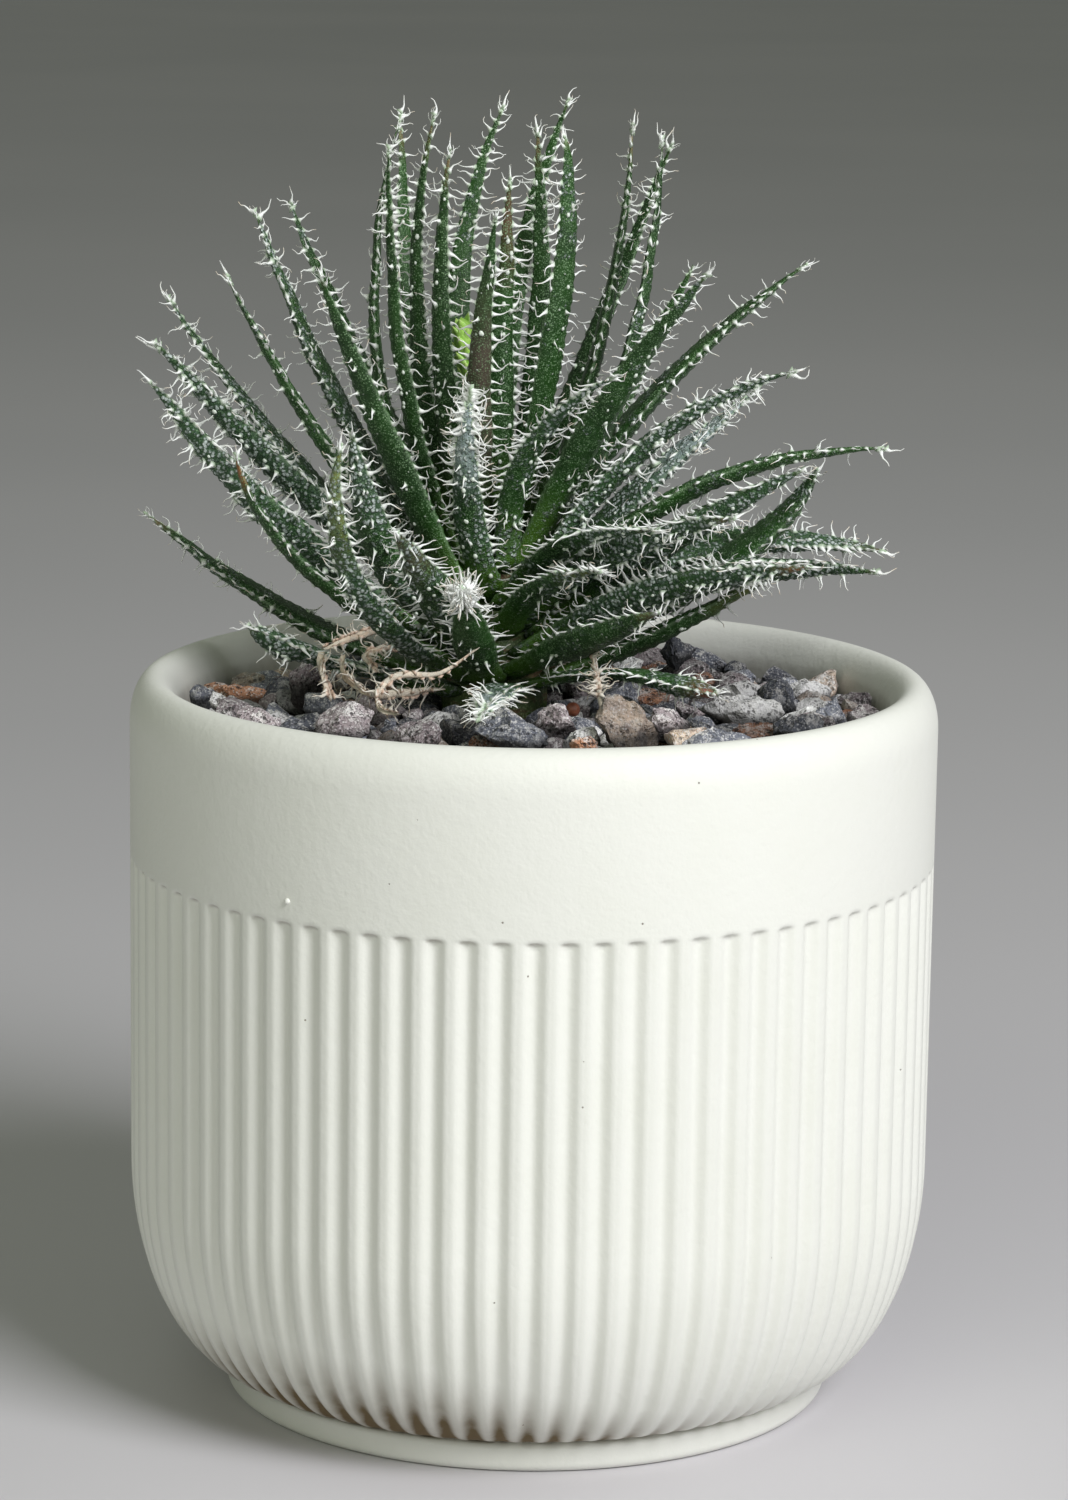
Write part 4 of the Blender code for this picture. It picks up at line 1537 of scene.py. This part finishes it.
@dataclass
class CurledStrip(Scrap):
    """A withered strip of leaf that lies in a curl on the gravel; its route is in millimetres."""

    route: tuple[tuple[float, float, float], ...] = ()
    turns: tuple[float, float] = (2.4, 4.4)

    def at(self, share: float) -> Vector:
        """A place on the smooth line through the strip's route.

        Args:
            share: The share of the route.

        Returns:
            The place.
        """
        points = [Vector(point) * MM for point in self.route]
        points = [2.0 * points[0] - points[1], *points, 2.0 * points[-1] - points[-2]]
        spot = min(share, 0.9999) * (len(points) - 3)
        index = int(spot)
        t = spot - index
        a, b, c, d = points[index:index + 4]
        return 0.5 * (2.0 * b + (c - a) * t + (2.0 * a - 5.0 * b + 4.0 * c - d) * t * t
                      + (3.0 * b - a - 3.0 * c + d) * t ** 3)

    def station(self, share: float) -> Station:
        """A place along the strip's route, twisted.

        Args:
            share: The share of the strip's length.

        Returns:
            The station.
        """
        heading = (self.at(min(1.0, share + 0.02)) - self.at(max(0.0, share - 0.02))).normalized()
        across = heading.cross(UP).normalized()
        half = 0.5 * self.width * (0.30 + 0.70 * math.sin(math.pi * (0.12 + 0.80 * share)))
        half *= 1.0 + 0.25 * noise.noise(Vector((share * 7.0, self.seed, 0.0)))
        station = Station(self.at(share), heading, across, across.cross(heading), half)
        station.twist(self.twist * share + 0.6 * math.sin(5.0 * share))
        return station


SCRAPS = (
    Tuft("dry_tuft_right", 3),
    CurledStrip("dry_curl_front", 4, 0.75 * MM, route=(
        (-5.4, -10.5, 77.0), (-9.1, -12.5, 74.7), (-13.1, -14.0, 74.8), (-15.0, -15.0, 73.2), (-14.6, -16.0, 71.9),
        (-13.2, -16.5, 71.6))),
    CurledStrip("dry_hand", 6, 1.1 * MM, route=(
        (-20.9, -7.4, 75.8), (-20.6, -8.2, 74.2), (-20.1, -8.8, 72.6), (-19.9, -9.2, 71.7))),
    CurledStrip("dry_claw", 9, 0.8 * MM, route=(
        (-18.8, -6.5, 75.4), (-18.4, -8.0, 73.7), (-17.0, -9.2, 72.7), (-15.8, -9.8, 72.0))),
    CurledStrip("dry_sheath", 11, 0.9 * MM, route=(
        (-12.8, -2.5, 76.8), (-15.5, -3.6, 77.4), (-18.4, -4.4, 76.7), (-20.6, -5.0, 75.8))),
    CurledStrip("dry_tangle", 15, 0.8 * MM, route=(
        (-12.6, -3.6, 75.2), (-14.6, -4.8, 76.0), (-16.6, -5.6, 75.3), (-15.4, -6.6, 74.0))),
)


@dataclass
class Rosette:
    """All the leaves, living and dried, with the short stem that carries them."""

    leaf_count: int = 52
    dried_count: int = 2
    stem_top_radius: float = 1.0 * MM
    stem_taper_end: float = 71.0 * MM
    stem_steps: int = 40

    def build_stem(self) -> None:
        """Builds the stem: a tapering core with a swollen ring under each spent leaf."""
        low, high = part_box("stem")
        widest = 0.5 * (high.x - low.x)
        profile = [(0.0, high.z)]
        for step in range(1, self.stem_steps + 1):
            share = step / self.stem_steps
            swell = 1.0 + 0.05 * math.sin(share * 52.0)
            radius = (self.stem_top_radius + (widest - self.stem_top_radius) * math.sqrt(share)) * swell
            profile.append((radius, high.z - (high.z - self.stem_taper_end) * share))
        bm = turned([*profile, (widest, low.z), (0.0, low.z)], 48)
        for vert in bm.verts:
            bumps = noise.noise(vert.co / (1.6 * MM))
            vert.co += Vector((vert.co.x, vert.co.y, 0.0)) * (0.10 * bumps)
        axis = middle_of("stem")
        bmesh.ops.translate(bm, verts=bm.verts, vec=(axis.x, axis.y, 0.0))
        make_piece("leaf_stem", bm, ("stem_flesh",), ("stem",))

    def build(self) -> None:
        """Builds and dresses the whole rosette and the withered scraps round it."""
        rack = ToothRack()
        axis = middle_of("stem")
        self.build_stem()
        for number in range(1, self.leaf_count + 1):
            AloeLeaf(number, LeafSpine(f"leaf_{number:02d}", axis), rack).build()
        for number in range(1, self.dried_count + 1):
            node = f"dry_leaf_{number:02d}"
            DriedLeaf(f"curled_{node}", number, spine=LeafSpine(node, axis), solids=(node,)).build(rack)
        for scrap in SCRAPS:
            scrap.build(rack)
        rack.clear()


@dataclass
class FlowerBud:
    """The young flower spike: a thin stalk that carries a cone of overlapping bracts."""

    bracts: int = 34
    steps: int = 25
    sides: int = 12
    stalk_share: float = 0.66
    stalk_radius: float = 0.45 * MM
    widest: float = 1.0 * MM

    def __post_init__(self) -> None:
        """Reads the spike's line from its solid, from the middle of the stem to the bud's top."""
        self.bm = plant_mesh()
        low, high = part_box("flower_bud")
        self.foot = middle_of("stem")
        self.foot.z = low.z
        self.top = Vector((low.x + 0.45 * self.widest, low.y + self.widest, high.z - 0.5 * MM))
        self.heading = (self.top - self.foot).normalized()
        self.across = self.heading.cross(Vector((0.0, 1.0, 0.0))).normalized()

    def core(self, share: float) -> float:
        """Half the width of the stalk, or of the cone's core above it.

        Args:
            share: The share of the spike's height.

        Returns:
            The half width.
        """
        if share <= self.stalk_share:
            return self.stalk_radius
        rise = (share - self.stalk_share) / (1.0 - self.stalk_share)
        return (0.60 + 0.60 * math.sin(math.pi * min(1.0, rise * 0.95))) * MM

    def build(self) -> None:
        """Builds and dresses the spike."""
        ahead = self.heading.cross(self.across)
        rings = []
        for step in range(self.steps):
            share = step / self.steps
            radius = self.core(share)
            rings.append(ellipse(self.foot.lerp(self.top, share), self.across, ahead, radius, radius, self.sides))
        for ring in loft(self.bm, rings, self.top):
            mark(self.bm, ring, 0.2)
        for number in range(self.bracts):
            self.add_bract(number)
        make_piece("lime_bud", self.bm, ("lime_bract",), ("flower_bud",))

    def add_bract(self, number: int) -> None:
        """Lays one pointed bract of the spiral from the bud's foot to its top.

        Args:
            number: The bract's number.
        """
        growth = self.bm.verts.layers.float_color["growth"]
        share = number / (self.bracts - 1)
        rise = self.stalk_share - 0.05 + (1.02 - self.stalk_share) * share
        outward = Matrix.Rotation(GOLDEN_TURN * number, 3, self.heading) @ self.across
        girth = (0.70 + 0.70 * math.sin(math.pi * min(1.0, share * 0.82 + 0.08))) * MM
        size = (1.55 - 0.60 * share) * MM
        origin = self.foot.lerp(self.top, min(0.97, rise)) + outward * (girth * 0.82)
        made = bmesh.ops.create_uvsphere(self.bm, u_segments=10, v_segments=8, radius=1.0)["verts"]
        for vert in made:
            place = vert.co.copy()
            taper = 1.0 - 0.75 * max(0.0, place.z) ** 2
            vert[growth] = (0.5 + 0.5 * place.z, abs(place.y), 0.0, 0.5)
            vert.co = Vector((place.x * 0.16 - 0.22 * place.y * place.y * taper + 0.12 * place.z,
                              place.y * 0.52 * taper, place.z * 0.85))
        matrix = placed(origin, outward, self.heading + outward * 0.10, Vector((size, size, size)))
        bmesh.ops.transform(self.bm, matrix=matrix, verts=made)


# ---- Gravel ----
class Rock(Enum):
    """The kinds of stone in the dressing: the finish of each, and how common it is."""

    SLATE = ("slate_stone", 0.37)
    MAUVE = ("mauve_lava", 0.28)
    RUST = ("rust_lava", 0.06)
    TAN = ("tan_pumice", 0.08)
    PALE = ("pale_pumice", 0.21)


# The large stones on top: the kind, the place in millimetres, the three half sizes and the turn in degrees.
LANDMARKS = (
    (Rock.SLATE, -1.4, -22.5, (3.6, 2.4, 1.9), 10.0),
    (Rock.TAN, 8.9, -20.0, (2.8, 2.4, 3.3), 60.0),
    (Rock.PALE, 4.4, -20.0, (1.6, 1.3, 1.5), 20.0),
    (Rock.MAUVE, 2.4, -13.5, (2.1, 1.9, 1.7), 80.0),
    (Rock.RUST, 4.5, -26.0, (1.6, 1.3, 1.1), 0.0),
    (Rock.MAUVE, -18.0, -19.0, (3.3, 2.6, 2.2), 150.0),
    (Rock.SLATE, -22.8, -15.0, (2.6, 2.0, 1.7), 30.0),
    (Rock.PALE, -25.0, -7.0, (1.9, 1.3, 1.1), 70.0),
    (Rock.MAUVE, -23.0, 1.5, (2.1, 1.7, 2.8), 100.0),
    (Rock.PALE, -31.0, -6.0, (2.0, 0.9, 0.9), 115.0),
    (Rock.RUST, -29.0, 5.0, (2.5, 1.7, 1.3), 5.0),
    (Rock.SLATE, -32.5, -1.5, (1.4, 1.3, 1.3), 40.0),
    (Rock.MAUVE, -11.0, -20.5, (2.7, 2.0, 1.9), 70.0),
    (Rock.PALE, 20.4, -5.0, (3.6, 2.0, 2.1), 160.0),
    (Rock.RUST, 21.6, -14.6, (2.2, 1.5, 1.4), 15.0),
    (Rock.SLATE, 26.0, -15.5, (2.7, 1.9, 1.6), 30.0),
    (Rock.RUST, 27.5, -8.0, (1.7, 1.2, 1.1), 170.0),
    (Rock.SLATE, 17.2, -21.0, (3.1, 2.0, 1.7), 20.0),
    (Rock.RUST, 12.2, -23.5, (1.5, 1.1, 0.9), 45.0),
    (Rock.SLATE, 29.5, -3.5, (2.0, 1.7, 2.0), 75.0),
    (Rock.SLATE, 24.5, 1.0, (2.4, 1.8, 2.0), 120.0),
    (Rock.PALE, 27.5, 10.0, (2.7, 1.7, 1.5), 0.0),
    (Rock.SLATE, 14.6, 19.0, (1.8, 1.6, 2.0), 75.0),
    (Rock.MAUVE, 9.5, 13.0, (2.0, 1.7, 1.5), 140.0),
    (Rock.RUST, 6.8, 12.0, (1.6, 1.4, 1.3), 10.0),
    (Rock.MAUVE, 13.0, -13.5, (2.2, 1.8, 1.6), 20.0),
)


class GravelPile:
    """Stones dropped one by one on a height map of the bed, each where it finds a low seat."""

    def __init__(self, radius: float, level: float, core_radius: float) -> None:
        """Starts with the bare bed, which rises a little to the left and right.

        Args:
            radius: The pot's inner radius.
            level: The bed's height before the stones.
            core_radius: The radius kept free round the stem.
        """
        self.radius = radius
        self.core = middle_of("stem")
        self.core_radius = core_radius
        self.cell = 0.5 * MM
        count = int(2.0 * radius / self.cell) + 3
        ticks = (np.arange(count) - 0.5 * (count - 1)) * self.cell
        self.grid_x, self.grid_y = np.meshgrid(ticks, ticks, indexing="ij")
        self.heights = level + 1.3 * MM * np.clip(np.abs(self.grid_x) / radius, 0.0, 1.0) ** 2

    def around(self, x: float, y: float, reach: float) -> tuple[tuple[slice, slice], np.ndarray]:
        """The part of the height map round a place.

        Args:
            x: The place along X.
            y: The place along Y.
            reach: A stone's half width.

        Returns:
            The part, and the distance of each of its cells from the place.
        """
        half = 0.5 * (self.grid_x.shape[0] - 1)
        low_x, low_y = (max(0, int((place - reach) / self.cell + half)) for place in (x, y))
        width = int(2.0 * reach / self.cell) + 2
        part = (slice(low_x, low_x + width), slice(low_y, low_y + width))
        return part, np.hypot(self.grid_x[part] - x, self.grid_y[part] - y)

    def seat(self, x: float, y: float, reach: float) -> float:
        """The height on which a stone comes to rest.

        Args:
            x: Its place along X.
            y: Its place along Y.
            reach: Its half width.

        Returns:
            The height.
        """
        part, away = self.around(x, y, reach)
        near = away < 0.8 * reach
        return float(np.percentile(self.heights[part][near], 72.0)) if near.any() else float(self.heights.max())

    def settle(self, x: float, y: float, reach: float, rise: float) -> Vector:
        """Lays a stone and raises the height map under it.

        Args:
            x: Its place along X.
            y: Its place along Y.
            reach: Its half width.
            rise: Its half height.

        Returns:
            Its middle.
        """
        middle = self.seat(x, y, reach) + 0.55 * rise
        part, away = self.around(x, y, reach)
        share = away / reach
        dome = middle + rise * 0.85 * np.sqrt(np.clip(1.0 - share * share, 0.0, 1.0))
        self.heights[part] = np.where(share < 1.0, np.maximum(self.heights[part], dome), self.heights[part])
        return Vector((x, y, middle))

    def free(self, x: float, y: float, reach: float) -> bool:
        """Whether a stone fits between the pot's wall and the rosette.

        Args:
            x: Its place along X.
            y: Its place along Y.
            reach: Its half width.

        Returns:
            True where it fits.
        """
        if math.hypot(x, y) > self.radius - 0.92 * reach:
            return False
        return math.hypot(x - self.core.x, y - self.core.y) > self.core_radius + 0.7 * reach


@dataclass
class Gravel:
    """The top dressing: a bed of grit, hundreds of small stones, the large ones on top, and crumbs."""

    stones: int = 560
    chunks: int = 90
    crumbs: int = 340
    shapes: int = 12
    seed: int = 5
    bed_level: float = 66.4 * MM
    core_radius: float = 5.3 * MM
    sharp_edge: float = 20.0

    def __post_init__(self) -> None:
        """Starts the pile, the heap of each kind of stone, and the source of all chances."""
        self.rng = random.Random(self.seed)
        self.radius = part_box("gravel_bed")[1].x
        self.pile = GravelPile(self.radius, self.bed_level, self.core_radius)
        self.heaps = {rock: bmesh.new() for rock in Rock}
        for heap in self.heaps.values():
            # Each stone's tone, and under the name dust each vertex's height on its stone, which the finish uses
            # for painted light and shade.
            heap.verts.layers.float.new("tone")
            heap.verts.layers.float.new("dust")

    def rock_shape(self, detail: int, facets: int) -> bpy.types.Mesh:
        """Makes one angular stone of unit half size.

        Args:
            detail: How finely it is divided.
            facets: How many flat faces are struck off it.

        Returns:
            The stone.
        """
        rng = self.rng
        bm = bmesh.new()
        bmesh.ops.create_icosphere(bm, subdivisions=detail, radius=1.22)
        cuts = []
        for _ in range(facets):
            normal = Vector((rng.gauss(0, 1), rng.gauss(0, 1), rng.gauss(0, 1))).normalized()
            cuts.append((normal, rng.uniform(0.55, 0.95)))
        offset = Vector((rng.uniform(0, 50), rng.uniform(0, 50), rng.uniform(0, 50)))
        for vert in bm.verts:
            for normal, distance in cuts + cuts:
                over = vert.co.dot(normal) - distance
                if over > 0.0:
                    vert.co -= normal * over
        if detail > 1:
            for vert in bm.verts:
                rough = 0.16 * noise.fractal(vert.co * 1.6 + offset, 0.45, 2.3, detail + 1)
                vert.co += vert.co.normalized() * rough
        return mesh_of(bm, "rock_shape")

    def drop(self, count: int, least: float, most: float) -> list[tuple[Vector, Vector, Rock]]:
        """Drops loose stones on the pile.

        Args:
            count: How many fall.
            least: The smallest half width.
            most: The largest half width.

        Returns:
            The place, half sizes and kind of each stone.
        """
        rng, pile, laid = self.rng, self.pile, []
        kinds = list(Rock)
        weights = [common for _, common in (rock.value for rock in kinds)]
        for _ in range(count):
            reach = least + (most - least) * rng.random() ** 1.5
            rise = reach * rng.uniform(0.62, 0.85)
            spots = []
            while len(spots) < 10:
                x, y = rng.uniform(-pile.radius, pile.radius), rng.uniform(-pile.radius, pile.radius)
                if pile.free(x, y, reach):
                    spots.append((pile.seat(x, y, reach), x, y))
            _, x, y = min(spots)
            place = pile.settle(x, y, reach, rise)
            size = Vector((reach * rng.uniform(1.0, 1.25), reach, rise))
            laid.append((place, size, rng.choices(kinds, weights)[0]))
        return laid

    def scatter(self, shapes: list[bpy.types.Mesh], count: int, least: float, most: float) -> None:
        """Drops loose stones between two half widths and lays each in its heap."""
        for place, size, rock in self.drop(count, least, most):
            self.lay(rock, self.rng.choice(shapes), place, size, self.rng.uniform(0.0, math.tau))

    def lay(self, rock: Rock, shape: bpy.types.Mesh, place: Vector, size: Vector, turn: float) -> None:
        """Lays one stone in its heap.

        Args:
            rock: Its kind.
            shape: Its ready-made shape.
            place: Where its middle goes.
            size: Its half sizes.
            turn: Its turn about the upright.
        """
        rng, heap = self.rng, self.heaps[rock]
        tilt = Matrix.Rotation(rng.gauss(0.0, 0.28), 4, "X") @ Matrix.Rotation(rng.gauss(0.0, 0.28), 4, "Y")
        matrix = Matrix.Translation(place) @ tilt @ Matrix.Rotation(turn, 4, "Z") @ Matrix.Diagonal((*size, 1.0))
        spin = Matrix.Rotation(rng.choice((0.0, math.pi)), 4, "X")
        tone = rng.random()
        tone_mark, height_mark = heap.verts.layers.float["tone"], heap.verts.layers.float["dust"]
        for vert in stamp(heap, shape, matrix @ spin):
            vert[tone_mark] = tone
            # The height on the stone, from -1 low down to 1 on top, for painted shade low down and painted light on
            # top.
            vert[height_mark] = held((vert.co.z - place.z) / size.z, -1.0)

    def build_bed(self) -> None:
        """Builds the bed of grit under the stones, which stands for the gravel's solid."""
        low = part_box("gravel_bed")[0].z
        top, count = self.bed_level + 1.2 * MM, 40
        profile = [(self.radius * (1.0 - step / count), top) for step in range(count)]
        bm = turned([(0.0, top), *profile[::-1], (self.radius, low), (0.0, low)], 120)
        for vert in bm.verts:
            if vert.co.z > low + 1.0 * MM:
                coarse, fine = noise.noise(vert.co / (1.8 * MM)), noise.noise(vert.co / (0.7 * MM))
                vert.co.z += 0.9 * MM * coarse + 0.5 * MM * fine
        make_piece("grit_bed", bm, ("damp_crumb",), ("gravel_bed",))

    def build(self) -> None:
        """Builds and dresses the whole dressing."""
        small = [self.rock_shape(2, 9) for _ in range(self.shapes)]
        middle = [self.rock_shape(3, 12) for _ in range(2 * self.shapes)]
        large = [self.rock_shape(4, 13) for _ in range(self.shapes)]
        self.scatter(small, self.stones, 0.8 * MM, 2.2 * MM)
        self.scatter(middle, self.chunks, 1.2 * MM, 2.9 * MM)
        for rock, x, y, sizes, turn in LANDMARKS:
            size = Vector(sizes) * MM
            place = self.pile.settle(x * MM, y * MM, 0.5 * (size.x + size.y), size.z)
            self.lay(rock, self.rng.choice(large), place, size, math.radians(turn))
        self.scatter(small, self.crumbs, 0.55 * MM, 1.3 * MM)
        for rock, heap in self.heaps.items():
            make_piece(f"gravel_{rock.name.lower()}", heap, rock.value[:1], sharp=self.sharp_edge)
        self.build_bed()
        for mesh in small + middle + large:
            bpy.data.meshes.remove(mesh)


def build_pellet() -> None:
    """Builds the round feed pellet, slightly dented, where its solid lies."""
    low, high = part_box("feed_pellet")
    bm = bmesh.new()
    bmesh.ops.create_icosphere(bm, subdivisions=4, radius=0.5 * (high.x - low.x))
    for vert in bm.verts:
        vert.co *= 1.0 + 0.035 * noise.noise(vert.co / (0.5 * MM))
    bmesh.ops.translate(bm, verts=bm.verts, vec=middle_of("feed_pellet"))
    make_piece("resin_pellet", bm, ("pellet_resin",), ("feed_pellet",))


# ---- Stage ----
@dataclass(frozen=True)
class SoftLight:
    """A square soft light: where it hangs, in degrees and metres, its side, its power and its colour."""

    name: str
    turn: float
    rise: float
    distance: float
    size: float
    power: float
    colour: Colour

    def hang(self, aim: Vector) -> None:
        """Hangs the light so that it faces a point.

        Args:
            aim: The point.
        """
        lamp = bpy.data.lights.new(self.name, "AREA")
        lamp.size, lamp.energy, lamp.color = self.size, self.power, self.colour
        turn, rise = math.radians(self.turn), math.radians(self.rise)
        back = Vector((math.sin(turn) * math.cos(rise), -math.cos(turn) * math.cos(rise), math.sin(rise)))
        holder = show(self.name, lamp)
        holder.location = aim + back * self.distance
        holder.rotation_euler = back.to_track_quat("Z", "Y").to_euler()


@dataclass
class Studio:
    """The pale floor, the soft lights, the pale surround and the camera."""

    camera_place: tuple[float, float, float] = (0.00004, -0.47135, 0.15986)
    camera_drop: float = math.radians(11.396)
    camera_roll: float = 0.0136
    lens: float = 115.8
    aim_height: float = 0.06
    floor_size: float = 6.0
    sky: Colour = (0.93, 1.0, 0.86)
    sky_strength: float = 0.18
    lights: tuple[SoftLight, ...] = (
        SoftLight("key", 41.0, 38.0, 0.9, 0.40, 7.7, (0.985, 0.985, 1.0)),
        SoftLight("front_fill", -25.0, 30.0, 1.2, 0.8, 2.2, (0.94, 1.0, 0.78)),
    )

    def floor(self) -> None:
        """Lays the floor."""
        bm = bmesh.new()
        bmesh.ops.create_grid(bm, x_segments=8, y_segments=8, size=self.floor_size)
        show("floor", mesh_of(bm, "floor", "studio_paper"))

    def camera(self) -> None:
        """Sets the camera where the view was taken from."""
        data = bpy.data.cameras.new("camera")
        data.lens, data.sensor_width, data.clip_start = self.lens, 36.0, 0.01
        holder = show("camera", data)
        turn = Matrix.Rotation(0.5 * math.pi - self.camera_drop, 4, "X") @ Matrix.Rotation(self.camera_roll, 4, "Z")
        holder.matrix_world = Matrix.Translation(self.camera_place) @ turn
        bpy.context.scene.camera = holder

    def surround(self) -> None:
        """Sets the pale surround and the plain view transform."""
        world = bpy.data.worlds.new("studio")
        world.use_nodes = True
        sky = world.node_tree.nodes["Background"].inputs
        sky["Color"].default_value = (*self.sky, 1.0)
        sky["Strength"].default_value = self.sky_strength
        bpy.context.scene.world = world
        bpy.context.scene.view_settings.view_transform = "Standard"

    def build(self) -> None:
        """Sets up the whole stage."""
        self.floor()
        self.surround()
        for light in self.lights:
            light.hang(UP * self.aim_height)
        self.camera()


def main() -> None:
    """Builds the looks of every sub-assembly."""
    logging.basicConfig(level=logging.INFO, format="%(name)s: %(message)s")
    noise.seed_set(NOISE_SEED)
    lay_grain()
    lay_crust()
    for finish in FINISHES:
        finish.make()
    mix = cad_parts["potting_mix"].data.materials
    mix.clear()
    mix.append(bpy.data.materials["damp_crumb"])
    for part in (FlutedPot(), Gravel(), Rosette(), FlowerBud()):
        part.build()
    build_pellet()
    Studio().build()


if __name__ == "__main__":
    main()
